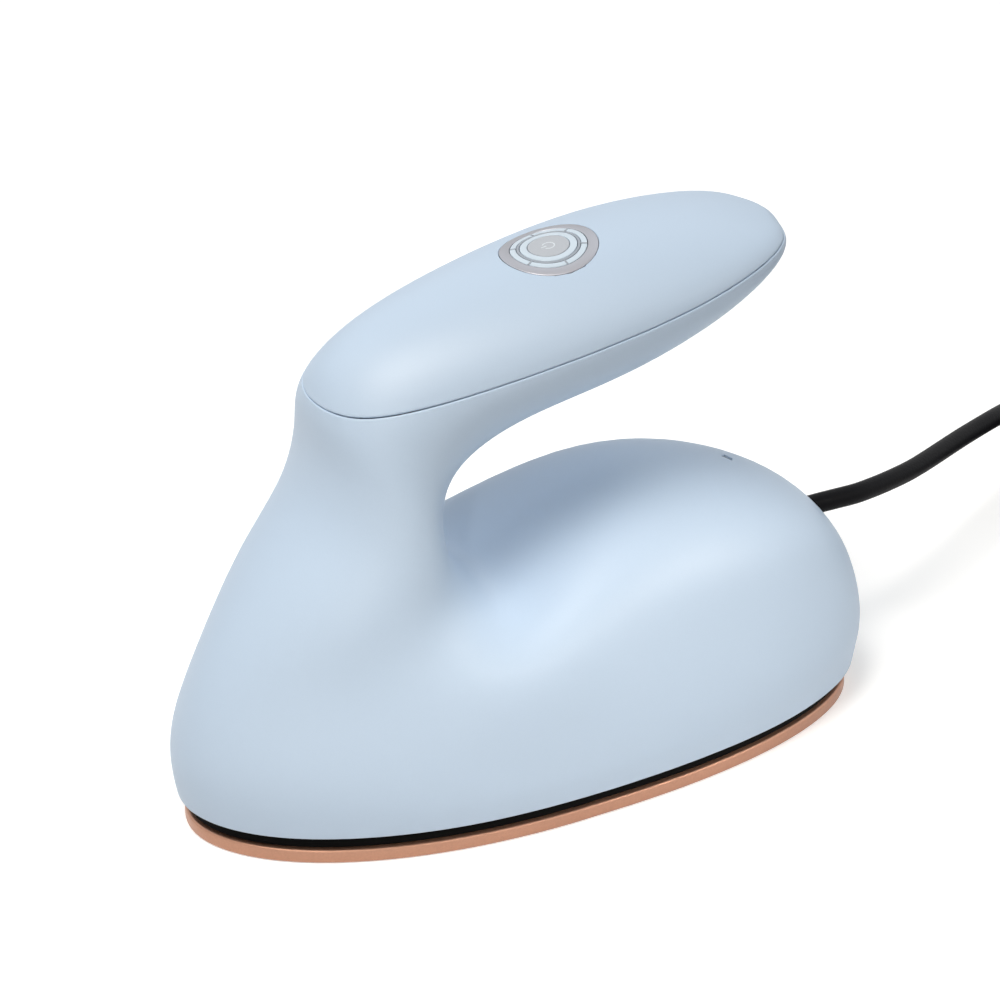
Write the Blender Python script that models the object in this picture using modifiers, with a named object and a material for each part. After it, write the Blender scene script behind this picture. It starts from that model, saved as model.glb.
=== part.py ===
"""Mini craft iron: a small corded press for heat-transfer craft work.

X runs from the nose (-X) to the rear, where the cord leaves (+X). Z is up and the
soleplate's face lies on z = 0. Lengths are in metres.
"""
import math

import bmesh
import bpy
import numpy as np
from mathutils import Matrix, Vector

# The whole iron
LENGTH = 0.140
WIDTH = 0.065
HEIGHT = 0.103
SEAT = 0.0003           # gap where two pieces meet
OVERRUN = 0.004         # how far a cutter runs past what it cuts
MERGE = 0.00001
SIDES = 32
FEW_SIDES = 12

# Plan outline, an egg with a squarer rear
REAR_SQUARE = 2.5
NOSE_SQUARE = 1.95
EGG_SHARE = -0.11
OUTLINE_STEPS = 48

# Soleplate
SOLE_THICK = 0.0027
SOLE_IN = 0.0022        # drawn in from the plan outline
SOLE_EDGE = 0.0004
BOSS_X_SHARE = 0.27
BOSS_IN = 0.0095
BOSS_RADIUS = 0.0024
BOSS_HEIGHT = 0.0040

# Black base frame between soleplate and housing
FLANGE_IN = 0.0028
FLANGE_THICK = 0.0024
FRAME_IN = 0.0042
FRAME_WALL = 0.0024
FRAME_TOP = 0.0120
PAD_RADIUS = 0.0044
PAD_THICK = 0.0022
SCREW_RADIUS = 0.0014
SCREW_HOLE_RADIUS = 0.0017
HEAD_RADIUS = 0.0024
HEAD_HEIGHT = 0.0016

# Heater, clamp and sensors on the soleplate
ELEMENT_RADIUS = 0.0026
ELEMENT_SPREAD_SHARE = 0.17
ELEMENT_REAR_SHARE = 0.32
ELEMENT_NOSE_SHARE = -0.28
CLAMP_IN = 0.0150
CLAMP_THICK = 0.0012
CLAMP_SCREW_X_SHARE = 0.15
SENSOR_RADIUS = 0.0022
SENSOR_LENGTH = 0.0090
FUSE_RADIUS = 0.0016
FUSE_LENGTH = 0.0110
FUSE_Y = 0.0060

# Insulation and heat shield
WOOL_IN = 0.0090
WOOL_THICK = 0.0024
SHIELD_IN = 0.0048
SHIELD_THICK = 0.0008
SHIELD_HEIGHT = 0.0060
WIRE_HOLE_RADIUS = 0.0040
WIRE_HOLE_X_SHARE = -0.22

# Board tray, power board and what stands on it
TRAY_LENGTH_SHARE = 0.50
TRAY_WIDTH_SHARE = 0.55
TRAY_THICK = 0.0014
TRAY_X_SHARE = 0.143
PILLAR_RADIUS = 0.0026
PILLAR_HEIGHT = 0.0022
BOARD_LENGTH_SHARE = 0.386
BOARD_WIDTH_SHARE = 0.49
BOARD_THICK = 0.0016
BOARD_X_SHARE = 0.093
BOARD_SCREW_IN = 0.0040
MODULE_LENGTH, MODULE_WIDTH, MODULE_HEIGHT = 0.0160, 0.0140, 0.0120
MODULE_X_SHARE, MODULE_Y = 0.114, -0.0050
RELAY_LENGTH, RELAY_WIDTH, RELAY_HEIGHT = 0.0120, 0.0080, 0.0100
RELAY_X_SHARE, RELAY_Y = 0.018, 0.0080
CAPACITOR_RADIUS, CAPACITOR_HEIGHT = 0.0040, 0.0125
CAPACITOR_X_SHARE, CAPACITOR_Y = 0.140, 0.0090
PLUG_BLOCK_LENGTH, PLUG_BLOCK_WIDTH, PLUG_BLOCK_HEIGHT = 0.0060, 0.0100, 0.0060
TERMINAL_LENGTH, TERMINAL_WIDTH = 0.0070, 0.0120
SOCKET_CLEAR = 0.0005   # between the relay and the harness socket

# Cord and how it is held
CORD_RADIUS = 0.00195
CORD_Z = 0.3330 * HEIGHT
BUSH_RADIUS = 0.0027
BUSH_BORE_RADIUS = 0.00225
BUSH_INNER_SHARE = 0.411
CRADLE_X_SHARE = 0.361
CRADLE_LENGTH = 0.0070
CRADLE_WIDTH = 0.0160
BAR_THICK = 0.0024
BAR_SCREW_Y = 0.0064

# Moulded housing
HOUSING_Z = 0.0057
TUCK_Z = 0.0110
BELLY_Z = 0.0195
SHOULDER_REAR_Z = 0.0335
SHOULDER_NOSE_Z = 0.0330
FOOT_IN = 0.0009
TUCK_IN = 0.0000
BELLY_NOSE_IN = 0.0005  # the belly drawn in at the nose
SHOULDER_END_SHARE = 0.92
SHOULDER_SIDE_SHARE = 0.91
WALL = 0.0024
WALL_DROP_SHARE = 0.33
LOOP_DEGREES = (0, 22, 45, 65, 85, 105, 125, 144, 162, 180)
SKIN_LEVELS = 2
FINE_LEVELS = 3
HOLLOW_LEVELS = 1

# Crown of the hump: centre points, rear to neck, as shares of length and height
HUMP_SHARES = ((0.339, 0.464), (0.139, 0.527), (-0.018, 0.433))
HUMP_SQUARE = 1.80
HUMP_SWEEP_SHARE = 0.30

# Neck and handle sections: the front and the back of each as shares of length and
# height, and the half-width as a share of the width
SECTION_FRONT_SHARES = (
    (-0.389, 0.466), (-0.321, 0.592), (-0.300, 0.704), (-0.298, 0.796), (-0.239, 0.888),
    (-0.096, 0.954), (0.096, 0.996), (0.264, 0.994), (0.343, 0.975))
SECTION_BACK_SHARES = (
    (-0.089, 0.408), (-0.136, 0.490), (-0.143, 0.587), (-0.100, 0.660), (-0.004, 0.713),
    (0.136, 0.757), (0.275, 0.829), (0.361, 0.904), (0.375, 0.942))
SECTION_WIDTH_SHARES = (0.354, 0.331, 0.300, 0.275, 0.290, 0.320, 0.308, 0.217, 0.103)
SECTION_SQUARE = 2.05
CROWN_SQUARE = 1.80      # the upper half of the handle's sections
CROWN_FROM = 4           # the first section with a crown
SECTION_POINTS = 12
TIP_OUT = 0.0013
HOLLOW_END_SHARE = 0.45

# Seam between the handle's lower half and its cover
SEAM_SHARE = 0.865       # height over the middle
SEAM_RISE_SHARE = 0.240  # rise over the iron's length

# Control: rings and button set flush in the cover's crown
CONTROL_X_SHARE = 0.040
CONTROL_DEGREES = 6.0
WELL_RADIUS = 0.0093
TRIM_OUTER, TRIM_INNER = 0.0090, 0.0071
LIGHT_OUTER, LIGHT_INNER = 0.00685, 0.0060
BEZEL_OUTER, BEZEL_INNER = 0.00575, 0.00525
CAP_RADIUS = 0.0050
MARK_RADIUS = 0.0038
MARK_DEPTH = 0.0009
RING_DEPTH = 0.0042
CAP_DEPTH = 0.0030
STEM_RADIUS = 0.0016
STEM_HOLE_RADIUS = 0.0022
CARRIER_RADIUS = 0.0110
CARRIER_THICK = 0.0012
EAR_X = 0.0136
EAR_RADIUS = 0.0034
EAR_BOSS_RADIUS = 0.0024
SKIRT_OUTER, SKIRT_INNER = 0.0106, 0.0096
SKIRT_DEPTH = 0.0028
LED_CIRCLE = 0.0064
LED_WINDOW_RADIUS = 0.0013
LED_SIZE = 0.0016
LED_HEIGHT = 0.0008
LED_COUNT = 4
BOARD_SCREW_CIRCLE = 0.0076
BOARD_BOSS_RADIUS = 0.0016
DISC_THICK = 0.0012
SWITCH_SIZE = 0.0045
SWITCH_HEIGHT = 0.0018
PLUNGER_RADIUS = 0.0011
PLUNGER_HOLE_RADIUS = 0.0014
PLUNGER_HEIGHT = 0.0014
PLUNGER_RISE = 0.0009   # how far the plunger stands out of the switch
SOCKET_LENGTH, SOCKET_WIDTH, SOCKET_HEIGHT = 0.0050, 0.0060, 0.0030

# Indicator lamp in the rear crest
LAMP_X_SHARE = 0.314
LAMP_RADIUS = 0.0012
LAMP_HOLE_RADIUS = 0.0014
LAMP_FLANGE_RADIUS = 0.0022
LAMP_FLANGE_THICK = 0.0012
LAMP_SINK = 0.0004

# Harness from the power board up the neck
HARNESS_RADIUS = 0.0016
HARNESS_SHARES = ((-0.190, 0.259), (-0.226, 0.327), (-0.236, 0.436), (-0.222, 0.584),
                  (-0.180, 0.713), (-0.090, 0.795))

# Free cord, its coil and the plug, chosen points
CORD_START_SHARE = 0.4286
CORD_ROUTE = (
    (0.0660, 0.0000, 0.0344), (0.0728, 0.0005, 0.0340), (0.0785, 0.0024, 0.0332),
    (0.0843, 0.0050, 0.0322), (0.0911, 0.0086, 0.0309), (0.0987, 0.0135, 0.0293),
    (0.1067, 0.0189, 0.0276), (0.1149, 0.0243, 0.0259), (0.1276, 0.0322, 0.0233))
CORD_STEP = 0.0090
COIL_X, COIL_Y = 0.1660, 0.0296
COIL_OUTER = 0.0260     # centre of the outermost loop
COIL_PITCH = 0.0046
COIL_LAYERS = 4
COIL_START_DEGREES = 128.0
COIL_LOOPS = 12
COIL_POINTS = 24
COIL_LEAD = 0.0040
COIL_Z = 0.0029         # centre of the lowest layer
PLUG_LENGTH, PLUG_WIDTH, PLUG_THICK = 0.0260, 0.0240, 0.0130
PLUG_EDGE = 0.0022
PLUG_Z = 0.0067
NECK_LENGTH, NECK_RADIUS = 0.0090, 0.0034
PLUG_GAP = 0.0150       # from the coil's end to the plug's neck
BLADE_LENGTH, BLADE_WIDTH, BLADE_THICK = 0.0170, 0.0064, 0.0015
BLADE_SPACING = 0.0127

for old in list(bpy.data.objects):
    bpy.data.objects.remove(old)
PARTS = bpy.data.collections.new("mini_craft_iron")
CUTTERS = bpy.data.collections.new("cutters")
bpy.context.scene.collection.children.link(PARTS)
bpy.context.scene.collection.children.link(CUTTERS)


def material(name, colour, roughness, metallic=0.0):
    """A plain Principled material."""
    made = bpy.data.materials.new(name)
    made.use_nodes = True
    shader = made.node_tree.nodes["Principled BSDF"]
    shader.inputs["Base Color"].default_value = (*colour, 1.0)
    shader.inputs["Roughness"].default_value = roughness
    shader.inputs["Metallic"].default_value = metallic
    return made


def place(name, mesh, parent=None):
    """Puts a mesh in the scene as a named part."""
    part = bpy.data.objects.new(name, mesh)
    PARTS.objects.link(part)
    part.parent = parent
    return part


def finish(part, colour, roughness, metallic=0.0):
    """Shades a part smooth with sharp edges and gives it its own material."""
    part.data.materials.clear()
    part.data.materials.append(material(part.name, colour, roughness, metallic))
    part.data.shade_smooth()
    part.data.set_sharp_from_angle(angle=math.radians(35))
    return part


def as_cutter(part):
    """Moves a part to the cutters, which are never shown."""
    PARTS.objects.unlink(part)
    CUTTERS.objects.link(part)
    part.hide_render = True
    part.display_type = 'WIRE'
    return part


def boolean(part, other, operation='DIFFERENCE'):
    step = part.modifiers.new(operation.title(), 'BOOLEAN')
    step.operation = operation
    step.solver = 'EXACT'
    step.object = other
    return part


def cut(part, other):
    return boolean(part, as_cutter(other))


def join(part, other):
    return boolean(part, as_cutter(other), 'UNION')


def baked(part):
    """Replaces an object by a mesh object of its evaluated shape."""
    bpy.context.view_layer.update()
    graph = bpy.context.evaluated_depsgraph_get()
    mesh = bpy.data.meshes.new_from_object(part.evaluated_get(graph))
    shape = bmesh.new()
    shape.from_mesh(mesh)
    bmesh.ops.remove_doubles(shape, verts=shape.verts, dist=MERGE)
    rim = [edge for edge in shape.edges if edge.is_boundary]
    if rim:
        bmesh.ops.holes_fill(shape, edges=rim, sides=0)
    bmesh.ops.recalc_face_normals(shape, faces=shape.faces)
    shape.to_mesh(mesh)
    shape.free()
    name, parent, where = part.name, part.parent, part.matrix_world.copy()
    bpy.data.objects.remove(part)
    made = place(name, mesh, parent)
    made.matrix_world = where
    return made


def turned(name, profile, parent=None, sides=SIDES, ring=False):
    """A profile of radius and height turned round the vertical axis."""
    count = len(profile)
    edges = [(i, (i + 1) % count) for i in range(count if ring else count - 1)]
    mesh = bpy.data.meshes.new(name)
    mesh.from_pydata([(radius, 0, height) for radius, height in profile], edges, [])
    part = place(name, mesh, parent)
    screw = part.modifiers.new("Screw", 'SCREW')
    screw.steps = screw.render_steps = sides
    screw.use_merge_vertices = True
    screw.merge_threshold = MERGE
    screw.use_smooth_shade = True
    return part


def disc(name, radius, low, high, parent=None, sides=SIDES, at=(0, 0)):
    """A solid cylinder between two heights."""
    mesh = bpy.data.meshes.new(name)
    shape = bmesh.new()
    bmesh.ops.create_cone(shape, cap_ends=True, segments=sides, radius1=radius, radius2=radius,
                          depth=high - low)
    bmesh.ops.translate(shape, vec=Vector((0, 0, (high + low) / 2)), verts=shape.verts)
    shape.to_mesh(mesh)
    shape.free()
    part = place(name, mesh, parent)
    part.location = (at[0], at[1], 0)
    return part


def ring(name, outer, inner, low, high, parent=None, sides=SIDES):
    """A hollow cylinder between two heights."""
    profile = [(inner, high), (outer, high), (outer, low), (inner, low)]
    return turned(name, profile, parent, sides, ring=True)


def box(name, size, centre, parent=None, edge=0.0):
    """A block, its edges rounded off if asked."""
    mesh = bpy.data.meshes.new(name)
    shape = bmesh.new()
    bmesh.ops.create_cube(shape, size=1)
    bmesh.ops.scale(shape, vec=Vector(size), verts=shape.verts)
    shape.to_mesh(mesh)
    shape.free()
    part = place(name, mesh, parent)
    part.location = centre
    if edge:
        bevel = part.modifiers.new("Bevel", 'BEVEL')
        bevel.width = edge
        bevel.segments = 2
    return part


def squared(value, power):
    return math.copysign(abs(value) ** (2 / power), value)


def outline(angle, inset):
    """A point of the plan outline, its angle taken from the rear."""
    c, s = math.cos(angle), math.sin(angle)
    power = REAR_SQUARE if c > 0 else NOSE_SQUARE
    x = (LENGTH / 2 - inset) * squared(c, power)
    y = (WIDTH / 2 - inset) * squared(s, power) * (1 + EGG_SHARE * c)
    return x, y


def plan(inset, steps=OUTLINE_STEPS):
    return [outline(2 * math.pi * i / steps, inset) for i in range(steps)]


def slab(name, points, low, high, edge=0.0):
    """A flat outline raised between two heights."""
    mesh = bpy.data.meshes.new(name)
    mesh.from_pydata([(x, y, low) for x, y in points], [], [tuple(range(len(points)))])
    part = place(name, mesh)
    thick = part.modifiers.new("Solidify", 'SOLIDIFY')
    thick.thickness = high - low
    thick.offset = 1
    if edge:
        bevel = part.modifiers.new("Bevel", 'BEVEL')
        bevel.width = edge
        bevel.segments = 2
        bevel.limit_method = 'ANGLE'
        bevel.angle_limit = math.radians(60)
    return part


def wire(name, points, radius, fineness=2):
    """A round wire through every point given."""
    curve = bpy.data.curves.new(name, 'CURVE')
    curve.dimensions = '3D'
    curve.bevel_depth = radius
    curve.bevel_resolution = fineness
    curve.use_fill_caps = True
    line = curve.splines.new('POLY')
    line.points.add(len(points) - 1)
    for point, place_at in zip(line.points, points):
        point.co = (*place_at, 1)
    part = bpy.data.objects.new(name, curve)
    PARTS.objects.link(part)
    return baked(part)


def smooth_path(route, step):
    """Evenly spaced points on a smooth curve through a route's points."""
    route = [Vector(point) for point in route]
    reach = [0.0]
    for a, b in zip(route, route[1:]):
        reach.append(reach[-1] + (b - a).length)
    slopes = []
    for i in range(len(route)):
        a, b = max(i - 1, 0), min(i + 1, len(route) - 1)
        slopes.append((route[b] - route[a]) / (reach[b] - reach[a]))
    count = max(2, round(reach[-1] / step))
    points = []
    for k in range(count + 1):
        at = reach[-1] * k / count
        i = max(j for j in range(len(route) - 1) if reach[j] <= at + MERGE)
        span = reach[i + 1] - reach[i]
        t = min((at - reach[i]) / span, 1.0)
        points.append(route[i] * (2 * t**3 - 3 * t**2 + 1) + slopes[i] * span * (t**3 - 2 * t**2 + t)
                      + route[i + 1] * (3 * t**2 - 2 * t**3) + slopes[i + 1] * span * (t**3 - t**2))
    return points


# The smooth body: a cage of loops round the base, arches over the hump and
# sections up the neck and along the handle


def base_loops(wall, angles):
    """The four loops from the housing's foot to its shoulder."""
    foot = HOUSING_Z - (OVERRUN if wall else 0)
    for inset, nose, height in ((FOOT_IN, 0, foot), (TUCK_IN, 0, TUCK_Z), (0, BELLY_NOSE_IN, BELLY_Z)):
        yield [(*outline(angle, inset + nose * (1 - math.cos(angle)) / 2 + wall), height) for angle in angles]
    drop = wall * WALL_DROP_SHARE
    loop = []
    for angle in angles:
        x, y = outline(angle, wall)
        front = (1 - math.cos(angle)) / 2
        z = SHOULDER_REAR_Z * (1 - front) + SHOULDER_NOSE_Z * front - drop
        loop.append((x * SHOULDER_END_SHARE, y * SHOULDER_SIDE_SHARE, z))
    yield loop


def arch(i, end, wall):
    """Three points over the hump between two shoulder points."""
    x, z = HUMP_SHARES[i][0] * LENGTH, HUMP_SHARES[i][1] * HEIGHT - wall
    half = 0.5 ** (1 / HUMP_SQUARE)
    side_x = x + (end[0] - x) * HUMP_SWEEP_SHARE
    side_y = abs(end[1]) * half
    side_z = end[2] + (z - end[2]) * half
    return (side_x, side_y, side_z), (x, 0, z), (side_x, -side_y, side_z)


def section_frame(i, wall):
    """Centre, half-depth and half-width of a neck or handle section."""
    front = Vector((SECTION_FRONT_SHARES[i][0] * LENGTH, 0, SECTION_FRONT_SHARES[i][1] * HEIGHT))
    back = Vector((SECTION_BACK_SHARES[i][0] * LENGTH, 0, SECTION_BACK_SHARES[i][1] * HEIGHT))
    half = (front - back) / 2
    half -= half.normalized() * wall
    return (front + back) / 2, half, SECTION_WIDTH_SHARES[i] * WIDTH - wall


def section(i, wall):
    """The points round one section, and its frame."""
    centre, half, width = section_frame(i, wall)
    if wall and i == len(SECTION_FRONT_SHARES) - 1:
        before = section_frame(i - 1, wall)
        centre, half, width = (a + (b - a) * HOLLOW_END_SHARE
                               for a, b in zip(before, (centre, half, width)))
    points = []
    for k in range(SECTION_POINTS):
        angle = 2 * math.pi * k / SECTION_POINTS
        crown = i >= CROWN_FROM and math.cos(angle) > MERGE
        power = CROWN_SQUARE if crown else SECTION_SQUARE
        along, across = (squared(f(angle), power) for f in (math.cos, math.sin))
        points.append(centre + half * along + Vector((0, width * across, 0)))
    return points, centre, half


def cage(wall):
    """Points and quads of the smooth body, drawn in by a wall's thickness."""
    points, quads = [], []

    def put(row):
        points.extend(tuple(p) for p in row)
        return list(range(len(points) - len(row), len(points)))

    def strip(low, high, closed=True):
        for k in range(len(low) if closed else len(low) - 1):
            j = (k + 1) % len(low)
            quads.append((low[k], low[j], high[j], high[k]))

    angles = [math.radians(a) for a in LOOP_DEGREES]
    angles += [-a for a in reversed(angles[1:-1])]
    loops = [put(loop) for loop in base_loops(wall, angles)]
    for low, high in zip(loops, loops[1:]):
        strip(high, low)
    rim = loops[-1]
    rows = [[rim[2], rim[1], rim[0], rim[-1], rim[-2]]]
    for i in range(len(HUMP_SHARES)):
        left, right = rim[3 + i], rim[-3 - i]
        rows.append([left, *put(arch(i, points[left], wall)), right])
    for low, high in zip(rows, rows[1:]):
        strip(low, high, closed=False)
    below = [rim[9], rim[8], rim[7], rim[6], *rows[-1], rim[12], rim[11], rim[10]]
    for i in range(len(SECTION_FRONT_SHARES)):
        ring_points, centre, half = section(i, wall)
        above = put(ring_points)
        strip(below, above)
        below = above
    out = Vector((half.z, 0, -half.x)).normalized() * TIP_OUT / (2 if wall else 1)
    crown = put([centre + half * share + out * rise
                 for share, rise in ((0.5, 0.8), (0, 1), (-0.5, 0.8))])
    end = below
    rows = [(end[11], end[0], end[1]), (end[10], crown[0], end[2]), (end[9], crown[1], end[3]),
            (end[8], crown[2], end[4]), (end[7], end[6], end[5])]
    for low, high in zip(rows, rows[1:]):
        strip(low, high, closed=False)
    return points, quads


def through_points(points, quads):
    """Moves the cage's points so that the smooth surface passes through them."""
    beside, facing, uses = [set() for _ in points], [[] for _ in points], {}
    for quad in quads:
        for k in range(4):
            a, b, c = quad[k], quad[(k + 1) % 4], quad[(k + 2) % 4]
            beside[a].add(b)
            beside[b].add(a)
            facing[a].append(c)
            edge = (min(a, b), max(a, b))
            uses[edge] = uses.get(edge, 0) + 1
    rim = [[] for _ in points]
    for (a, b), times in uses.items():
        if times == 1:
            rim[a].append(b)
            rim[b].append(a)
    weights = np.zeros((len(points), len(points)))
    for i, near in enumerate(beside):
        if rim[i]:
            weights[i, i] = 4 / 6
            for j in rim[i]:
                weights[i, j] = 1 / 6
            continue
        n = len(near)
        weights[i, i] = n * n
        for j in near:
            weights[i, j] += 4
        for j in facing[i]:
            weights[i, j] += 1
        weights[i] /= n * (n + 5)
    return np.linalg.solve(weights, np.array(points)).tolist()


def smooth_body(name, wall, levels):
    """The smooth body, or its hollow, as one closed solid."""
    points, quads = cage(wall)
    mesh = bpy.data.meshes.new(name)
    mesh.from_pydata(through_points(points, quads), [], quads)
    body = place(name, mesh)
    soft = body.modifiers.new("Subdivision", 'SUBSURF')
    soft.levels = soft.render_levels = levels
    return baked(body)


def copy_of(part, name, parent=None):
    made = place(name, part.data.copy(), parent)
    made.matrix_world = part.matrix_world
    return made


def above_seam(name, lift):
    """A block whose lower face is the seam's plane, moved up by a lift."""
    size = LENGTH + HEIGHT
    block = box(name, (size, size, size), (0, 0, 0))
    slope = SEAM_RISE_SHARE * HEIGHT / LENGTH
    turn = Matrix.Rotation(-math.atan(slope), 4, 'Y')
    raise_by = Matrix.Translation((0, 0, SEAM_SHARE * HEIGHT + lift))
    block.matrix_world = raise_by @ turn @ Matrix.Translation((0, 0, size / 2))
    return block


# Housing, cover and control rings

skin = as_cutter(smooth_body("skin", 0, SKIN_LEVELS))
fine_skin = as_cutter(smooth_body("fine_skin", 0, FINE_LEVELS))
hollow = as_cutter(smooth_body("hollow", WALL, HOLLOW_LEVELS))
upper = as_cutter(above_seam("above_seam", SEAT / 2))
lower = as_cutter(above_seam("above_seam_cut", -SEAT / 2))


def axis_at(name, share, start, degrees=None):
    """An empty on the skin below a starting height, upright to the skin or at a given tilt."""
    bpy.context.view_layer.update()
    hit, where, normal, face = fine_skin.ray_cast(Vector((share * LENGTH, 0, start)), Vector((0, 0, -1)))
    axis = bpy.data.objects.new(name, None)
    PARTS.objects.link(axis)
    axis.location = where
    tilt = math.atan2(normal.x, normal.z) if degrees is None else math.radians(degrees)
    axis.rotation_euler = (0, tilt, 0)
    bpy.context.view_layer.update()
    return axis


below_handle = (HUMP_SHARES[1][1] + SEAM_SHARE) * HEIGHT / 2
control = axis_at("control_axis", CONTROL_X_SHARE, 2 * HEIGHT, -CONTROL_DEGREES)
lamp_axis = axis_at("lamp_axis", LAMP_X_SHARE, below_handle)

housing = copy_of(skin, "main_housing")
boolean(housing, lower)
boolean(housing, hollow)
cord_hole = disc("cord_hole", BUSH_RADIUS + SEAT, 0, LENGTH / 2, sides=SIDES)
cord_hole.rotation_euler = (0, math.pi / 2, 0)
cord_hole.location = (LENGTH / 4, 0, CORD_Z)
cut(housing, cord_hole)
cut(housing, disc("lamp_hole", LAMP_HOLE_RADIUS, -WALL - OVERRUN, OVERRUN, lamp_axis, FEW_SIDES))
cut(housing, disc("lamp_seat", LAMP_FLANGE_RADIUS + SEAT, -WALL - OVERRUN, -WALL / 2, lamp_axis, FEW_SIDES))
finish(housing, (0.50, 0.60, 0.73), 0.42)

cover = copy_of(skin, "handle_cover")
boolean(cover, upper, 'INTERSECT')
boolean(cover, hollow)
cut(cover, disc("well", WELL_RADIUS, -HEIGHT / 4, OVERRUN, control))
for i, side in enumerate((-1, 1)):
    boss = disc(f"cover_boss_{i + 1}", EAR_BOSS_RADIUS, -RING_DEPTH, -WALL / 2, control, FEW_SIDES,
                at=(side * EAR_X, 0))
    join(cover, boss)
finish(cover, (0.50, 0.60, 0.73), 0.38)


def inset_ring(name, outer, inner):
    """A ring set in the crown, its top face following the skin."""
    part = ring(name, outer, inner, -RING_DEPTH, OVERRUN, control)
    return boolean(part, fine_skin, 'INTERSECT')


finish(inset_ring("trim_ring", TRIM_OUTER, TRIM_INNER), (0.62, 0.63, 0.64), 0.28, 1.0)
finish(inset_ring("light_ring", LIGHT_OUTER, LIGHT_INNER), (0.80, 0.86, 0.92), 0.30)
finish(inset_ring("bezel_ring", BEZEL_OUTER, BEZEL_INNER), (0.42, 0.48, 0.56), 0.35)

cap = disc("button_cap", CAP_RADIUS, -CAP_DEPTH, OVERRUN, control)
boolean(cap, fine_skin, 'INTERSECT')
cut(cap, disc("mark_pocket", MARK_RADIUS + SEAT / 2, -MARK_DEPTH - SEAT, OVERRUN, control))
stem_low = -CAP_DEPTH - (RING_DEPTH + SEAT + CARRIER_THICK - CAP_DEPTH)
join(cap, disc("stem", STEM_RADIUS, stem_low, -CAP_DEPTH + SEAT, control, FEW_SIDES))
finish(cap, (0.80, 0.86, 0.92), 0.35)
mark = disc("button_mark", MARK_RADIUS, -MARK_DEPTH, OVERRUN, control)
boolean(mark, fine_skin, 'INTERSECT')
finish(mark, (0.42, 0.44, 0.47), 0.40)

# Carrier, switch and round board under the rings

carrier_top = -RING_DEPTH - SEAT
carrier_low = carrier_top - CARRIER_THICK
board_top = carrier_low - SKIRT_DEPTH - SEAT
carrier = disc("button_carrier", CARRIER_RADIUS, carrier_low, carrier_top, control)
join(carrier, ring("skirt", SKIRT_OUTER, SKIRT_INNER, board_top + SEAT, carrier_top - SEAT, control))
for i, side in enumerate((-1, 1)):
    join(carrier, disc(f"ear_{i + 1}", EAR_RADIUS, carrier_low, carrier_top, control, FEW_SIDES,
                       at=(side * EAR_X, 0)))
    join(carrier, disc(f"board_boss_{i + 1}", BOARD_BOSS_RADIUS, board_top + SEAT, carrier_top - SEAT,
                       control, FEW_SIDES, at=(0, side * BOARD_SCREW_CIRCLE)))
    cut(carrier, disc(f"ear_hole_{i + 1}", SCREW_RADIUS, carrier_low - OVERRUN, carrier_top + OVERRUN,
                      control, FEW_SIDES, at=(side * EAR_X, 0)))
cut(carrier, disc("stem_hole", STEM_HOLE_RADIUS, carrier_low - OVERRUN, carrier_top + OVERRUN,
                  control, FEW_SIDES))
for i in range(LED_COUNT):
    angle = 2 * math.pi * (i + 0.5) / LED_COUNT
    at = (LED_CIRCLE * math.cos(angle), LED_CIRCLE * math.sin(angle))
    cut(carrier, disc(f"led_window_{i + 1}", LED_WINDOW_RADIUS, carrier_low - OVERRUN,
                      carrier_top + OVERRUN, control, FEW_SIDES, at=at))
    led = box(f"led_{i + 1}", (LED_SIZE, LED_SIZE, LED_HEIGHT),
              (at[0], at[1], board_top + SEAT + LED_HEIGHT / 2), control)
    finish(led, (0.95, 0.95, 0.85), 0.30)
finish(carrier, (0.75, 0.76, 0.78), 0.50)

board_low = board_top - DISC_THICK
control_board = disc("control_board", SKIRT_OUTER, board_low, board_top, control)
for i, side in enumerate((-1, 1)):
    at = (0, side * BOARD_SCREW_CIRCLE)
    cut(control_board, disc(f"board_hole_{i + 1}", SCREW_RADIUS / 2 + SEAT, board_low - OVERRUN,
                            board_top + OVERRUN, control, FEW_SIDES, at=at))
    screw = turned(f"control_screw_{i + 1}", [
        (0, board_top), (SCREW_RADIUS / 2, board_top), (SCREW_RADIUS / 2, board_low - SEAT),
        (SCREW_RADIUS, board_low - SEAT), (SCREW_RADIUS, board_low - SEAT - HEAD_HEIGHT / 2),
        (0, board_low - SEAT - HEAD_HEIGHT / 2)], control, FEW_SIDES)
    screw.location = (*at, 0)
    finish(screw, (0.60, 0.60, 0.62), 0.35, 1.0)
    boss_screw = turned(f"carrier_screw_{i + 1}", [
        (0, carrier_top), (SCREW_RADIUS - SEAT, carrier_top), (SCREW_RADIUS - SEAT, carrier_low - SEAT),
        (HEAD_RADIUS, carrier_low - SEAT), (HEAD_RADIUS, carrier_low - SEAT - HEAD_HEIGHT),
        (0, carrier_low - SEAT - HEAD_HEIGHT)], control, FEW_SIDES)
    boss_screw.location = (side * EAR_X, 0, 0)
    finish(boss_screw, (0.60, 0.60, 0.62), 0.35, 1.0)
finish(control_board, (0.05, 0.30, 0.16), 0.50)

switch = box("tact_switch", (SWITCH_SIZE, SWITCH_SIZE, SWITCH_HEIGHT),
             (0, 0, board_top + SEAT + SWITCH_HEIGHT / 2), control)
cut(switch, disc("plunger_hole", PLUNGER_HOLE_RADIUS, board_top, carrier_low, control, FEW_SIDES))
finish(switch, (0.10, 0.10, 0.11), 0.45)
plunger_top = stem_low - SEAT
plunger = disc("switch_plunger", PLUNGER_RADIUS, plunger_top - PLUNGER_HEIGHT, plunger_top, control,
               FEW_SIDES)
finish(plunger, (0.25, 0.25, 0.27), 0.40)
socket = box("control_socket", (SOCKET_LENGTH, SOCKET_WIDTH, SOCKET_HEIGHT),
             (0, 0, board_low - SEAT - SOCKET_HEIGHT / 2), control)
finish(socket, (0.85, 0.84, 0.78), 0.55)

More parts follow.
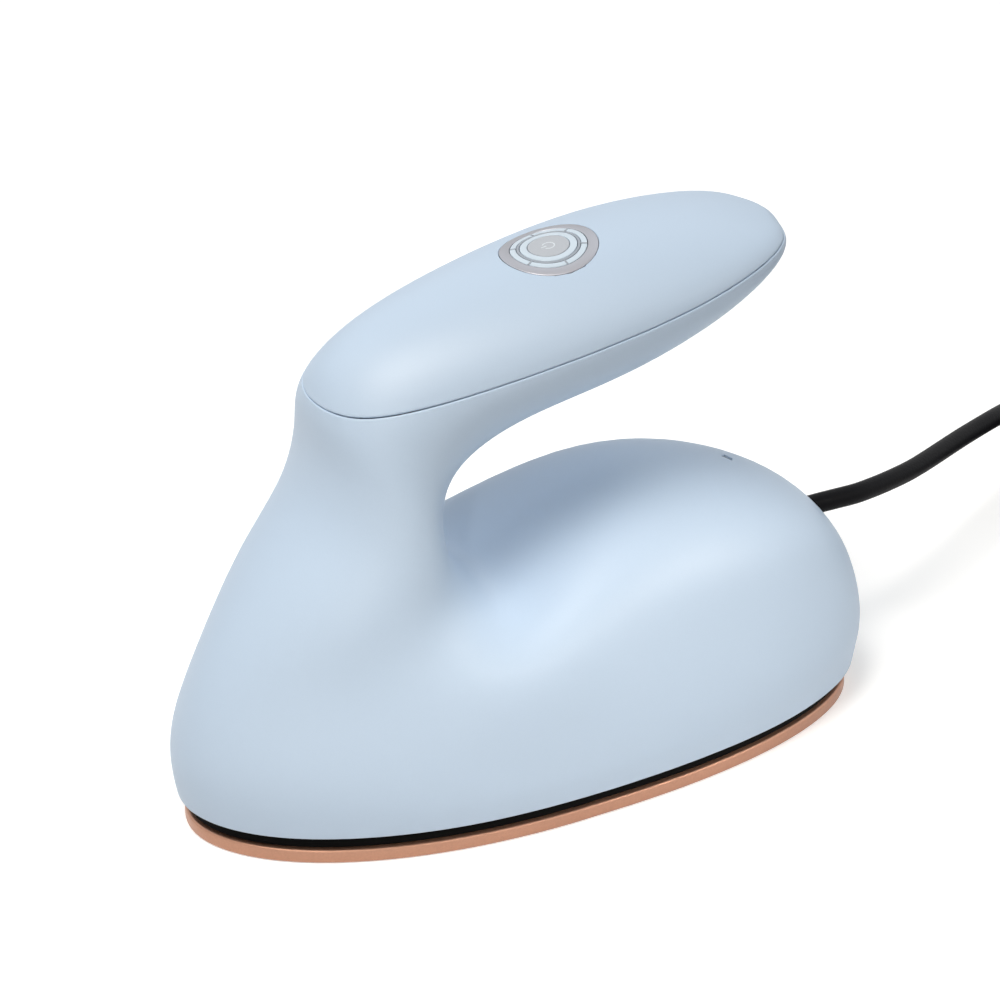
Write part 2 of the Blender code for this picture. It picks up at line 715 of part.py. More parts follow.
flange_top = -WALL / 2 - SEAT
lamp = turned("indicator_lamp", [
    (0, -LAMP_SINK), (LAMP_RADIUS, -LAMP_SINK - LAMP_RADIUS / 2), (LAMP_RADIUS, flange_top),
    (LAMP_FLANGE_RADIUS, flange_top), (LAMP_FLANGE_RADIUS, flange_top - LAMP_FLANGE_THICK),
    (0, flange_top - LAMP_FLANGE_THICK)], lamp_axis, FEW_SIDES)
finish(lamp, (0.03, 0.03, 0.04), 0.15)

# Soleplate, frame and heater

sole = slab("soleplate", plan(SOLE_IN), 0, SOLE_THICK, SOLE_EDGE)
boss_places = []
for end in (-1, 1):
    x = end * BOSS_X_SHARE * LENGTH
    power = REAR_SQUARE if end > 0 else NOSE_SQUARE
    angle = math.acos(end * (abs(x) / (LENGTH / 2 - BOSS_IN)) ** (power / 2))
    y = outline(angle, BOSS_IN)[1]
    boss_places += [(x, y), (x, -y)]
boss_top = SOLE_THICK + BOSS_HEIGHT
for i, at in enumerate(boss_places):
    join(sole, disc(f"sole_boss_{i + 1}", BOSS_RADIUS, SOLE_THICK / 2, boss_top, sides=FEW_SIDES, at=at))
    cut(sole, disc(f"sole_thread_{i + 1}", SCREW_RADIUS + SEAT, SOLE_THICK, boss_top + OVERRUN,
                   sides=FEW_SIDES, at=at))
element_low = SOLE_THICK + SEAT
clamp_low = element_low + 2 * ELEMENT_RADIUS + SEAT
clamp_top = clamp_low + CLAMP_THICK
for i, end in enumerate((-1, 1)):
    at = (end * CLAMP_SCREW_X_SHARE * LENGTH, 0)
    join(sole, disc(f"clamp_boss_{i + 1}", BOSS_RADIUS, SOLE_THICK / 2, clamp_low - SEAT,
                    sides=FEW_SIDES, at=at))
    cut(sole, disc(f"clamp_thread_{i + 1}", SCREW_RADIUS + SEAT, SOLE_THICK, clamp_low + OVERRUN,
                   sides=FEW_SIDES, at=at))
finish(sole, (0.60, 0.33, 0.20), 0.32, 0.9)


def screw(name, at, seat, depth):
    """A pan-head screw whose head sits on a seat."""
    part = turned(name, [(0, seat + SEAT + HEAD_HEIGHT), (HEAD_RADIUS * 0.8, seat + SEAT + HEAD_HEIGHT),
                         (HEAD_RADIUS, seat + SEAT + HEAD_HEIGHT / 2), (HEAD_RADIUS, seat + SEAT),
                         (SCREW_RADIUS, seat + SEAT), (SCREW_RADIUS, seat - depth), (0, seat - depth)],
                  sides=FEW_SIDES)
    part.location = (*at, 0)
    return finish(part, (0.60, 0.60, 0.62), 0.35, 1.0)


flange_low = SOLE_THICK + SEAT
pad_low = boss_top + SEAT
frame = slab("base_frame", plan(FLANGE_IN), flange_low, flange_low + FLANGE_THICK)
join(frame, slab("frame_rim", plan(FRAME_IN), flange_low + SEAT, FRAME_TOP))
cut(frame, slab("frame_hollow", plan(FRAME_IN + FRAME_WALL), flange_low - OVERRUN, FRAME_TOP + OVERRUN))
for i, at in enumerate(boss_places):
    join(frame, disc(f"pad_{i + 1}", PAD_RADIUS, pad_low, pad_low + PAD_THICK, sides=FEW_SIDES, at=at))
for i, at in enumerate(boss_places):
    cut(frame, disc(f"pad_hole_{i + 1}", SCREW_HOLE_RADIUS, pad_low - OVERRUN, FRAME_TOP + OVERRUN,
                    sides=FEW_SIDES, at=at))
    screw(f"sole_screw_{i + 1}", at, pad_low + PAD_THICK, PAD_THICK + BOSS_HEIGHT)
finish(frame, (0.025, 0.025, 0.028), 0.60)

spread = ELEMENT_SPREAD_SHARE * WIDTH
element_z = element_low + ELEMENT_RADIUS
bend = []
for k in range(9):
    angle = math.pi / 2 + math.pi * k / 8
    bend.append((ELEMENT_NOSE_SHARE * LENGTH + spread * math.cos(angle), spread * math.sin(angle), element_z))
rear_x = ELEMENT_REAR_SHARE * LENGTH
element = wire("heating_element", [(rear_x, spread, element_z), *bend, (rear_x, -spread, element_z)],
               ELEMENT_RADIUS)
finish(element, (0.30, 0.29, 0.28), 0.45, 0.8)

clamp = slab("heater_clamp", plan(CLAMP_IN, FEW_SIDES * 2), clamp_low, clamp_top)
for i, end in enumerate((-1, 1)):
    at = (end * CLAMP_SCREW_X_SHARE * LENGTH, 0)
    cut(clamp, disc(f"clamp_hole_{i + 1}", SCREW_HOLE_RADIUS, clamp_low - OVERRUN, clamp_top + OVERRUN,
                    sides=FEW_SIDES, at=at))
    screw(f"clamp_screw_{i + 1}", at, clamp_top, BOSS_HEIGHT)
finish(clamp, (0.55, 0.56, 0.57), 0.40, 1.0)

sensor = disc("temperature_sensor", SENSOR_RADIUS, -SENSOR_LENGTH / 2, SENSOR_LENGTH / 2, sides=FEW_SIDES)
sensor.rotation_euler = (0, math.pi / 2, 0)
sensor.location = (0, 0, SOLE_THICK + SEAT + SENSOR_RADIUS)
finish(sensor, (0.70, 0.55, 0.30), 0.40, 0.6)
fuse = disc("thermal_fuse", FUSE_RADIUS, -FUSE_LENGTH / 2, FUSE_LENGTH / 2, sides=FEW_SIDES)
fuse.rotation_euler = (0, math.pi / 2, 0)
fuse.location = (0, FUSE_Y, clamp_top + SEAT + FUSE_RADIUS)
finish(fuse, (0.75, 0.72, 0.62), 0.35, 0.4)

wool_low = clamp_top + SEAT + 2 * FUSE_RADIUS + SEAT
wool = slab("insulation_pad", plan(WOOL_IN, FEW_SIDES * 2), wool_low, wool_low + WOOL_THICK)
wire_hole = (WIRE_HOLE_X_SHARE * LENGTH, 0)
cut(wool, disc("wool_hole", WIRE_HOLE_RADIUS, wool_low - OVERRUN, wool_low + WOOL_THICK + OVERRUN,
               sides=FEW_SIDES, at=wire_hole))
finish(wool, (0.80, 0.78, 0.72), 0.95)

shield_low = FRAME_TOP + SEAT
shield_top = shield_low + SHIELD_HEIGHT
shield = slab("heat_shield", plan(SHIELD_IN), shield_low, shield_top)
cut(shield, slab("shield_hollow", plan(SHIELD_IN + SHIELD_THICK), shield_low - OVERRUN,
                 shield_top - SHIELD_THICK))
cut(shield, disc("shield_hole", WIRE_HOLE_RADIUS, shield_low, shield_top + OVERRUN, sides=FEW_SIDES,
                 at=wire_hole))
finish(shield, (0.70, 0.71, 0.72), 0.35, 1.0)

# Tray, power board and cord clamp

tray_x, tray_length = TRAY_X_SHARE * LENGTH, TRAY_LENGTH_SHARE * LENGTH
tray_width = TRAY_WIDTH_SHARE * WIDTH
board_x, board_length = BOARD_X_SHARE * LENGTH, BOARD_LENGTH_SHARE * LENGTH
board_width = BOARD_WIDTH_SHARE * WIDTH
cradle_x = CRADLE_X_SHARE * LENGTH
cord_start = CORD_START_SHARE * LENGTH
tray_low = shield_top + SEAT
tray_top = tray_low + TRAY_THICK
power_low = tray_top + PILLAR_HEIGHT
power_top = power_low + BOARD_THICK
cord_low = CORD_Z - CORD_RADIUS - SEAT
cradle_top = CORD_Z + CORD_RADIUS
tray = box("board_tray", (tray_length, tray_width, TRAY_THICK), (tray_x, 0, tray_low + TRAY_THICK / 2))
screw_x, screw_y = board_length / 2 - BOARD_SCREW_IN, board_width / 2 - BOARD_SCREW_IN
pillars = [(board_x + i * screw_x, j * screw_y) for i in (-1, 1) for j in (-1, 1)]
for i, at in enumerate(pillars):
    join(tray, disc(f"pillar_{i + 1}", PILLAR_RADIUS, tray_low + SEAT, power_low - SEAT, sides=FEW_SIDES,
                    at=at))
cradle_height = cradle_top - tray_low - SEAT
cradle = box("cradle", (CRADLE_LENGTH, CRADLE_WIDTH, cradle_height),
             (cradle_x, 0, tray_low + SEAT + cradle_height / 2))
join(tray, cradle)
slot_height = cradle_top + OVERRUN - cord_low
cut(tray, box("cradle_slot", (CRADLE_LENGTH + OVERRUN, 2 * (CORD_RADIUS + SEAT), slot_height),
              (cradle_x, 0, cord_low + slot_height / 2)))
for i, at in enumerate((pillars[0], pillars[3])):
    cut(tray, disc(f"pillar_hole_{i + 1}", SCREW_RADIUS + SEAT, tray_low + TRAY_THICK, power_low + OVERRUN,
                   sides=FEW_SIDES, at=at))
    screw(f"board_screw_{i + 1}", at, power_top, BOARD_THICK + PILLAR_HEIGHT / 2)
bar_low = cradle_top + SEAT
for i, side in enumerate((-1, 1)):
    at = (cradle_x, side * BAR_SCREW_Y)
    cut(tray, disc(f"bar_thread_{i + 1}", SCREW_RADIUS + SEAT, cord_low, cradle_top + OVERRUN,
                   sides=FEW_SIDES, at=at))
    screw(f"cord_clamp_screw_{i + 1}", at, bar_low + BAR_THICK, BAR_THICK + CORD_RADIUS)
finish(tray, (0.12, 0.12, 0.13), 0.60)

bar = box("cord_clamp", (CRADLE_LENGTH, CRADLE_WIDTH, BAR_THICK), (cradle_x, 0, bar_low + BAR_THICK / 2))
for i, side in enumerate((-1, 1)):
    cut(bar, disc(f"bar_hole_{i + 1}", SCREW_HOLE_RADIUS, bar_low - OVERRUN, bar_low + BAR_THICK + OVERRUN,
                  sides=FEW_SIDES, at=(cradle_x, side * BAR_SCREW_Y)))
finish(bar, (0.12, 0.12, 0.13), 0.60)

power_board = box("power_board", (board_length, board_width, BOARD_THICK),
                  (board_x, 0, power_low + BOARD_THICK / 2))
for i, at in enumerate((pillars[0], pillars[3])):
    cut(power_board, disc(f"power_hole_{i + 1}", SCREW_HOLE_RADIUS, power_low - OVERRUN,
                          power_top + OVERRUN, sides=FEW_SIDES, at=at))
finish(power_board, (0.05, 0.30, 0.16), 0.50)


def stands_on_board(name, size, x, y, colour, roughness):
    part = box(name, size, (x, y, power_top + SEAT + size[2] / 2))
    return finish(part, colour, roughness)


module_x, relay_x = MODULE_X_SHARE * LENGTH, RELAY_X_SHARE * LENGTH
stands_on_board("power_module", (MODULE_LENGTH, MODULE_WIDTH, MODULE_HEIGHT), module_x, MODULE_Y,
                (0.08, 0.08, 0.09), 0.5)
stands_on_board("relay", (RELAY_LENGTH, RELAY_WIDTH, RELAY_HEIGHT), relay_x, RELAY_Y, (0.08, 0.20, 0.45), 0.4)
capacitor = disc("capacitor", CAPACITOR_RADIUS, power_top + SEAT, power_top + SEAT + CAPACITOR_HEIGHT,
                 sides=FEW_SIDES, at=(CAPACITOR_X_SHARE * LENGTH, CAPACITOR_Y))
finish(capacitor, (0.06, 0.08, 0.20), 0.4)
harness_x = relay_x - RELAY_LENGTH / 2 - SOCKET_CLEAR - PLUG_BLOCK_LENGTH / 2
stands_on_board("harness_socket", (PLUG_BLOCK_LENGTH, PLUG_BLOCK_WIDTH, PLUG_BLOCK_HEIGHT), harness_x, 0,
                (0.85, 0.84, 0.78), 0.55)
terminal_height = cradle_top + SEAT - power_top
terminal_x = board_x + board_length / 2 - TERMINAL_LENGTH / 2
stands_on_board("terminal_block", (TERMINAL_LENGTH, TERMINAL_WIDTH, terminal_height), terminal_x, 0,
                (0.80, 0.80, 0.76), 0.5)

# Cord inside the housing, and its bush in the rear wall

inner_cord = disc("cord_inner", CORD_RADIUS, terminal_x + TERMINAL_LENGTH / 2 + SEAT, cord_start - SEAT,
                  sides=FEW_SIDES)
inner_cord.rotation_euler = (0, math.pi / 2, 0)
inner_cord.location = (0, 0, CORD_Z)
finish(inner_cord, (0.015, 0.015, 0.016), 0.55)
bush = ring("cord_bush", BUSH_RADIUS, BUSH_BORE_RADIUS, BUSH_INNER_SHARE * LENGTH, LENGTH / 2 + OVERRUN)
bush.rotation_euler = (0, math.pi / 2, 0)
bush.location = (0, 0, CORD_Z)
boolean(bush, fine_skin, 'INTERSECT')
finish(bush, (0.015, 0.015, 0.016), 0.60)

# Harness up the neck to the control board

socket_face = control.matrix_world @ Vector((-SOCKET_LENGTH / 2 - SEAT, 0,
                                             board_low - SEAT - SOCKET_HEIGHT / 2))
back_along = control.matrix_world.to_3x3() @ Vector((-SOCKET_LENGTH, 0, 0))
harness_z = power_top + SEAT + PLUG_BLOCK_HEIGHT / 2
harness_start = Vector((harness_x - PLUG_BLOCK_LENGTH / 2 - SEAT, 0, harness_z))
harness_route = [harness_start, harness_start - Vector((SOCKET_LENGTH / 2, 0, 0))]
harness_route += [Vector((x * LENGTH, 0, z * HEIGHT)) for x, z in HARNESS_SHARES]
harness_route += [socket_face + back_along / 2, socket_face]
harness = wire("neck_harness", smooth_path(harness_route, SOCKET_LENGTH * 0.8), HARNESS_RADIUS)
finish(harness, (0.55, 0.10, 0.08), 0.50)

# Free cord, wound coil, tail and plug


def coil_points():
    """Loops that spiral in and out in layers, climbing down where they turn."""
    start = math.radians(COIL_START_DEGREES)
    turns = COIL_LOOPS + COIL_START_DEGREES / 360
    span = turns / COIL_LAYERS
    count = round(turns * COIL_POINTS)
    points = []
    for k in range(count + 1):
        turn = turns * k / count
        layer = min(int(turn / span), COIL_LAYERS - 1)
        part = turn - layer * span
        inward = part if layer % 2 == 0 else span - part
        radius = COIL_OUTER - COIL_PITCH * inward
        level = 0.0
        for change in range(1, COIL_LAYERS):
            share = min(max((turn - change * span) * 2 + 0.5, 0), 1)
            level += share * share * (3 - 2 * share)
        angle = start - 2 * math.pi * turn
        points.append(Vector((COIL_X + radius * math.cos(angle), COIL_Y + radius * math.sin(angle),
                              COIL_Z + COIL_PITCH * (COIL_LAYERS - 1 - level))))
    return points


coil = coil_points()
start_turn = math.radians(COIL_START_DEGREES)
heading = Vector((math.sin(start_turn), -math.cos(start_turn), 0))
leaving = Vector((0, -1, 0))
coil = [coil[0] - heading * COIL_LEAD, *coil, coil[-1] + leaving * COIL_LEAD]
coil_length = sum((b - a).length for a, b in zip(coil, coil[1:]))
ring_of_points = np.array(coil)
apart = np.linalg.norm(ring_of_points[:, None] - ring_of_points[None], axis=2)
order = np.arange(len(coil))
apart[np.abs(order[:, None] - order[None]) < COIL_POINTS // 3] = np.inf
print(f"coil: {coil_length:.3f} m, least gap to itself {apart.min() - 2 * CORD_RADIUS:.5f} m")
finish(wire("cord_coil", coil, CORD_RADIUS, 1), (0.015, 0.015, 0.016), 0.55)

cord_end = coil[0] - heading * SEAT
route = [Vector((cord_start, 0, CORD_Z)), *(Vector(point) for point in CORD_ROUTE),
         cord_end - heading * COIL_LEAD * 2 + Vector((0, 0, COIL_LEAD * 0.35)), cord_end]
free = smooth_path(route, CORD_STEP / 2)
print(f"free cord: {sum((b - a).length for a, b in zip(free, free[1:])):.3f} m")
finish(wire("cord", free, CORD_RADIUS, 2), (0.015, 0.015, 0.016), 0.55)

tail_start = coil[-1] + leaving * SEAT
plug_y = tail_start.y - PLUG_GAP
neck_top = plug_y - SEAT
tail_end = Vector((tail_start.x, plug_y, PLUG_Z))
tail = smooth_path([tail_start, tail_start + leaving * COIL_LEAD, tail_end - leaving * COIL_LEAD, tail_end],
                   CORD_STEP / 3)
finish(wire("cord_tail", tail, CORD_RADIUS, 2), (0.015, 0.015, 0.016), 0.55)

body_top = neck_top - NECK_LENGTH
plug = box("plug_body", (PLUG_WIDTH, PLUG_LENGTH, PLUG_THICK),
           (tail_end.x, body_top - PLUG_LENGTH / 2, PLUG_Z), edge=PLUG_EDGE)
neck = turned("plug_neck", [(0, 0), (NECK_RADIUS * 0.8, 0), (NECK_RADIUS * 1.5, -NECK_LENGTH - PLUG_EDGE),
                            (0, -NECK_LENGTH - PLUG_EDGE)], sides=FEW_SIDES)
neck.rotation_euler = (-math.pi / 2, 0, 0)
neck.location = (tail_end.x, neck_top, PLUG_Z)
join(plug, neck)
finish(plug, (0.015, 0.015, 0.016), 0.50)
for i, side in enumerate((-1, 1)):
    blade = box(f"plug_blade_{i + 1}", (BLADE_THICK, BLADE_LENGTH, BLADE_WIDTH),
                (tail_end.x + side * BLADE_SPACING / 2,
                 body_top - PLUG_LENGTH - SEAT - BLADE_LENGTH / 2, PLUG_Z))
    finish(blade, (0.75, 0.62, 0.35), 0.25, 1.0)
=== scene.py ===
"""Mini craft iron: fine shells, rings, cord, plug, finishes and a plain studio.

Run it from Blender's text editor. X runs from the nose to the rear, Z is up, and
every length is in metres.
"""
from math import atan2, copysign, cos, hypot, pi, radians, sin

import bmesh
import bpy
import numpy as np
from bpy.props import FloatProperty, FloatVectorProperty, IntProperty, PointerProperty
from mathutils import Matrix, Vector
from mathutils.bvhtree import BVHTree


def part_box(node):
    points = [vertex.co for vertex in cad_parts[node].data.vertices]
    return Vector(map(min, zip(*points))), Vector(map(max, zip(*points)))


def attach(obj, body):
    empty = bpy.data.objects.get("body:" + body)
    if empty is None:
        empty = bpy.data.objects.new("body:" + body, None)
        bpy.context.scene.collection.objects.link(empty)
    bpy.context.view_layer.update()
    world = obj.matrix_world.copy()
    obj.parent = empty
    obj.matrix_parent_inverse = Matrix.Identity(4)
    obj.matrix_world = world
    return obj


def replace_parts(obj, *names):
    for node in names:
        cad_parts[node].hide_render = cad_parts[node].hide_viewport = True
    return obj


bl_info = {
    "name": "Mini Craft Iron",
    "version": (1, 0, 0),
    "blender": (4, 5, 0),
    "location": "3D Viewport > Sidebar > Craft Iron",
    "description": "Builds a mini craft iron with its cord, finishes and studio",
    "category": "Object",
}

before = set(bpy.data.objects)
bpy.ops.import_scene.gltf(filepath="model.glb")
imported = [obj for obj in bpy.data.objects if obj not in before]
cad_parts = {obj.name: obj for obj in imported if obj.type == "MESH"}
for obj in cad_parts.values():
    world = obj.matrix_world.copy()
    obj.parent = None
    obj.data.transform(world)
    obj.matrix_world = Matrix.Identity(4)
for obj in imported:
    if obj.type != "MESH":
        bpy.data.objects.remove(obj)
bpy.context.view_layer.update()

IRON, BUTTON = "iron", "button"

# Outside form of the iron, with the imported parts' skin but for a handle tip drawn in a little
LENGTH, WIDTH, HEIGHT = 0.140, 0.065, 0.103
REAR_SQUARE, NOSE_SQUARE, EGG = 2.5, 1.95, -0.11
FOOT_Z, TUCK_Z, BELLY_Z = 0.0057, 0.0110, 0.0195
SHOULDER_REAR_Z, SHOULDER_NOSE_Z = 0.0335, 0.0330
FOOT_IN, BELLY_NOSE_IN = 0.0009, 0.0005
SHOULDER_END, SHOULDER_SIDE = 0.92, 0.91
LOOP_DEGREES = (0, 22, 45, 65, 85, 105, 125, 144, 162, 180)
HUMP = ((0.339, 0.464), (0.139, 0.527), (-0.018, 0.433))
HUMP_SQUARE, HUMP_SWEEP = 1.80, 0.30

# Neck and handle: x / LENGTH and z / HEIGHT on both sides of each section, and half-width / WIDTH
SECTION_FRONT = (
    (-0.389, 0.466), (-0.321, 0.592), (-0.300, 0.704), (-0.298, 0.796), (-0.239, 0.888),
    (-0.096, 0.954), (0.096, 0.996), (0.264, 0.994), (0.340, 0.974))
SECTION_BACK = (
    (-0.089, 0.408), (-0.136, 0.490), (-0.143, 0.587), (-0.100, 0.660), (-0.004, 0.713),
    (0.136, 0.757), (0.275, 0.829), (0.361, 0.904), (0.371, 0.942))
SECTION_WIDTH = (0.354, 0.331, 0.300, 0.275, 0.290, 0.320, 0.308, 0.217, 0.103)
SECTION_SQUARE, CROWN_SQUARE, CROWN_FROM, SECTION_POINTS = 2.05, 1.80, 4, 12

# The handle's tip: its bulge, its cap's points (place across, share of the bulge), its faired patch
TIP_OUT = 0.0013
TIP_CROWN = ((0.50, 0.45), (0, 0.65), (-0.50, 0.75))
TIP_X, TIP_Z, TIP_REACH, TIP_ROUND = 0.0490, 0.1001, 0.0025, 0.36

# Seam, control, lamp and cord
SEAM_Z, SEAM_SLOPE = 0.865 * HEIGHT, 0.240 * HEIGHT / LENGTH
CONTROL_X, CONTROL_TILT = 0.040 * LENGTH, radians(6)
LAMP_X = 0.314 * LENGTH
CORD_Z, CORD_EXIT = 0.3330 * HEIGHT, 0.0665
LENS_RADIUS, LENS_HOLE, LENS_DEEP = 0.0012, 0.0013, 0.00025
BUSH_OUTER, BUSH_INNER, BUSH_HOLE = 0.0025, 0.0021, 0.0026
HOLE_EDGE, BUSH_EDGE = 0.00015, 0.00025

# A point nearer to a cut than this lies on it
ON_CUT = 5e-6

# Free cord and coil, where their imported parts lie
CORD_START = 0.4286 * LENGTH
CORD_ROUTE = (
    (0.0660, 0.0000, 0.0344), (0.0728, 0.0005, 0.0340), (0.0785, 0.0024, 0.0332),
    (0.0843, 0.0050, 0.0322), (0.0911, 0.0086, 0.0309), (0.0987, 0.0135, 0.0293),
    (0.1067, 0.0189, 0.0276), (0.1149, 0.0243, 0.0259), (0.1276, 0.0322, 0.0233))
COIL_CENTRE = (0.1660, 0.0296)
COIL_LEAD, PLUG_GAP, PLUG_Z = 0.0040, 0.0150, 0.0067
TIE_DEGREES = (185, 15)

# Tints of the lamps
WARM, COOL = (1.05, 1.0, 0.93), (0.93, 1.0, 1.06)


def settings():
    return bpy.context.scene.craft_iron


# Helpers for meshes

def added(name, data):
    """A new object with its data, linked to the scene."""
    piece = bpy.data.objects.new(name, data)
    bpy.context.scene.collection.objects.link(piece)
    return piece


def show(name, mesh, body=IRON):
    """Links a mesh as a named piece that rides on a body."""
    mesh.name = name
    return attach(added(name, mesh), body)


def dress(piece, finish):
    piece.data.materials.clear()
    piece.data.materials.append(finish)
    return piece


def stand_in(piece, node_name, finish):
    """Gives a piece its finish and hides the node of the frame that the piece stands for."""
    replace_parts(dress(piece, finish), node_name)
    return piece


def plain_mesh(piece):
    """The evaluated shape of an object as a mesh of its own."""
    bpy.context.view_layer.update()
    graph = bpy.context.evaluated_depsgraph_get()
    return bpy.data.meshes.new_from_object(piece.evaluated_get(graph))


def mesh_from(shape, degrees=40):
    """A smooth mesh of a shape, its edges sharp above an angle."""
    mesh = bpy.data.meshes.new("shape")
    shape.to_mesh(mesh)
    shape.free()
    mesh.shade_smooth()
    mesh.set_sharp_from_angle(angle=radians(degrees))
    return mesh


def around(count):
    """Angles evenly spaced round a circle."""
    return [2 * pi * k / count for k in range(count)]


def quarter(steps=4):
    """Angles of a quarter circle, with both its ends."""
    return [pi / 2 * k / steps for k in range(steps + 1)]


def quads_between(low, high, closed=True):
    """Quads that join two rows of points, closed or open."""
    ends = [(k, (k + 1) % len(low)) for k in range(len(low) if closed else len(low) - 1)]
    return [(low[k], low[j], high[j], high[k]) for k, j in ends]


def bridge(shape, low, high):
    for quad in quads_between(low, high):
        shape.faces.new(quad)


def lofted(rows, closed=False, degrees=40):
    """A skin over closed rows of points, its ends capped or joined to each other."""
    shape = bmesh.new()
    made = [[shape.verts.new(point) for point in row] for row in rows]
    for low, high in zip(made, made[1:] + made[:1] if closed else made[1:]):
        bridge(shape, low, high)
    if not closed:
        shape.faces.new(reversed(made[0]))
        shape.faces.new(made[-1])
    bmesh.ops.recalc_face_normals(shape, faces=shape.faces)
    return mesh_from(shape, degrees)


def rounded(outer, edge):
    """Radius and height pairs round an outer top edge, from the wall to the top."""
    return [(outer - edge + edge * cos(a), edge * sin(a) - edge) for a in quarter(3)]


# The iron's smooth skin

def squared(value, power):
    return copysign(abs(value) ** (2 / power), value)


def outline(angle, inset=0.0):
    """A point of the plan outline, its angle taken from the rear."""
    c, s = cos(angle), sin(angle)
    power = REAR_SQUARE if c > 0 else NOSE_SQUARE
    x = (LENGTH / 2 - inset) * squared(c, power)
    y = (WIDTH / 2 - inset) * squared(s, power) * (1 + EGG * c)
    return x, y


def base_loops(angles):
    """The loops from the foot to the shoulder."""
    for inset, nose, height in ((FOOT_IN, 0, FOOT_Z), (0, 0, TUCK_Z), (0, BELLY_NOSE_IN, BELLY_Z)):
        yield [(*outline(a, inset + nose * (1 - cos(a)) / 2), height) for a in angles]
    loop = []
    for angle in angles:
        x, y = outline(angle)
        front = (1 - cos(angle)) / 2
        z = SHOULDER_REAR_Z * (1 - front) + SHOULDER_NOSE_Z * front
        loop.append((x * SHOULDER_END, y * SHOULDER_SIDE, z))
    yield loop


def arch(i, end):
    """Three points over the hump between two shoulder points."""
    x, z = HUMP[i][0] * LENGTH, HUMP[i][1] * HEIGHT
    half = 0.5 ** (1 / HUMP_SQUARE)
    side_x, side_y = x + (end[0] - x) * HUMP_SWEEP, abs(end[1]) * half
    side_z = end[2] + (z - end[2]) * half
    return (side_x, side_y, side_z), (x, 0, z), (side_x, -side_y, side_z)


def section(i):
    """The points round one section of neck or handle, and its half-depth."""
    front = Vector((SECTION_FRONT[i][0] * LENGTH, 0, SECTION_FRONT[i][1] * HEIGHT))
    back = Vector((SECTION_BACK[i][0] * LENGTH, 0, SECTION_BACK[i][1] * HEIGHT))
    centre, half = (front + back) / 2, (front - back) / 2
    points = []
    for angle in around(SECTION_POINTS):
        crown = i >= CROWN_FROM and cos(angle) > 0.001
        power = CROWN_SQUARE if crown else SECTION_SQUARE
        along, across = squared(cos(angle), power), squared(sin(angle), power)
        points.append(centre + half * along + Vector((0, SECTION_WIDTH[i] * WIDTH * across, 0)))
    return points, half


def cage():
    """Points and quads of the skin: loops, arches over the hump, sections of the handle."""
    points, quads = [], []

    def put(row):
        points.extend(tuple(p) for p in row)
        return list(range(len(points) - len(row), len(points)))

    angles = [radians(a) for a in LOOP_DEGREES]
    angles += [-a for a in reversed(angles[1:-1])]
    loops = [put(loop) for loop in base_loops(angles)]
    for low, high in zip(loops, loops[1:]):
        quads += quads_between(high, low)
    rim = loops[-1]
    rows = [[rim[2], rim[1], rim[0], rim[-1], rim[-2]]]
    for i in range(len(HUMP)):
        rows.append([rim[3 + i], *put(arch(i, points[rim[3 + i]])), rim[-3 - i]])
    for low, high in zip(rows, rows[1:]):
        quads += quads_between(low, high, closed=False)
    below = [rim[9], rim[8], rim[7], rim[6], *rows[-1], rim[12], rim[11], rim[10]]
    for i in range(len(SECTION_FRONT)):
        ring, half = section(i)
        above = put(ring)
        quads += quads_between(below, above)
        below = above
    middle = sum((Vector(p) for p in ring), Vector()) / len(ring)
    out = Vector((half.z, 0, -half.x)).normalized() * TIP_OUT
    crown = put([middle + half * share + out * rise for share, rise in TIP_CROWN])
    rows = [(below[11], below[0], below[1]), (below[10], crown[0], below[2]),
            (below[9], crown[1], below[3]), (below[8], crown[2], below[4]),
            (below[7], below[6], below[5])]
    for low, high in zip(rows, rows[1:]):
        quads += quads_between(low, high, closed=False)
    return points, quads


def through_points(points, quads):
    """Moves the cage's points so that the smooth surface passes through them."""
    beside, facing, uses = [set() for _ in points], [[] for _ in points], {}
    for quad in quads:
        for k in range(4):
            a, b, c = quad[k], quad[(k + 1) % 4], quad[(k + 2) % 4]
            beside[a].add(b)
            beside[b].add(a)
            facing[a].append(c)
            uses[min(a, b), max(a, b)] = uses.get((min(a, b), max(a, b)), 0) + 1
    rim = [[] for _ in points]
    for (a, b), times in uses.items():
        if times == 1:
            rim[a].append(b)
            rim[b].append(a)
    weights = np.zeros((len(points), len(points)))
    for i, near in enumerate(beside):
        if rim[i]:
            weights[i, i] = 4 / 6
            weights[i, rim[i]] = 1 / 6
            continue
        n = len(near)
        weights[i, i] = n * n
        for j in near:
            weights[i, j] += 4
        for j in facing[i]:
            weights[i, j] += 1
        weights[i] /= n * (n + 5)
    return np.linalg.solve(weights, np.array(points)).tolist()


def faired(shape, chosen):
    """Lays the chosen points on the smoothest surface that joins their surroundings."""
    beside = {v: [e.other_vert(v) for e in v.link_edges] for v in shape.verts}
    near = set(chosen).union(*(beside[v] for v in chosen))
    rows = [v for v in shape.verts if v in near]
    column = {v: k for k, v in enumerate(chosen)}
    pull, held = np.zeros((len(rows), len(chosen))), np.zeros((len(rows), 3))
    for r, centre in enumerate(rows):
        even = 1 / len(beside[centre])
        for v, share in [(centre, -1)] + [(other, even) for other in beside[centre]]:
            if v in column:
                pull[r, column[v]] += share
            else:
                held[r] -= share * np.array(v.co)
    for v, place in zip(chosen, np.linalg.lstsq(pull, held, rcond=None)[0]):
        v.co = place


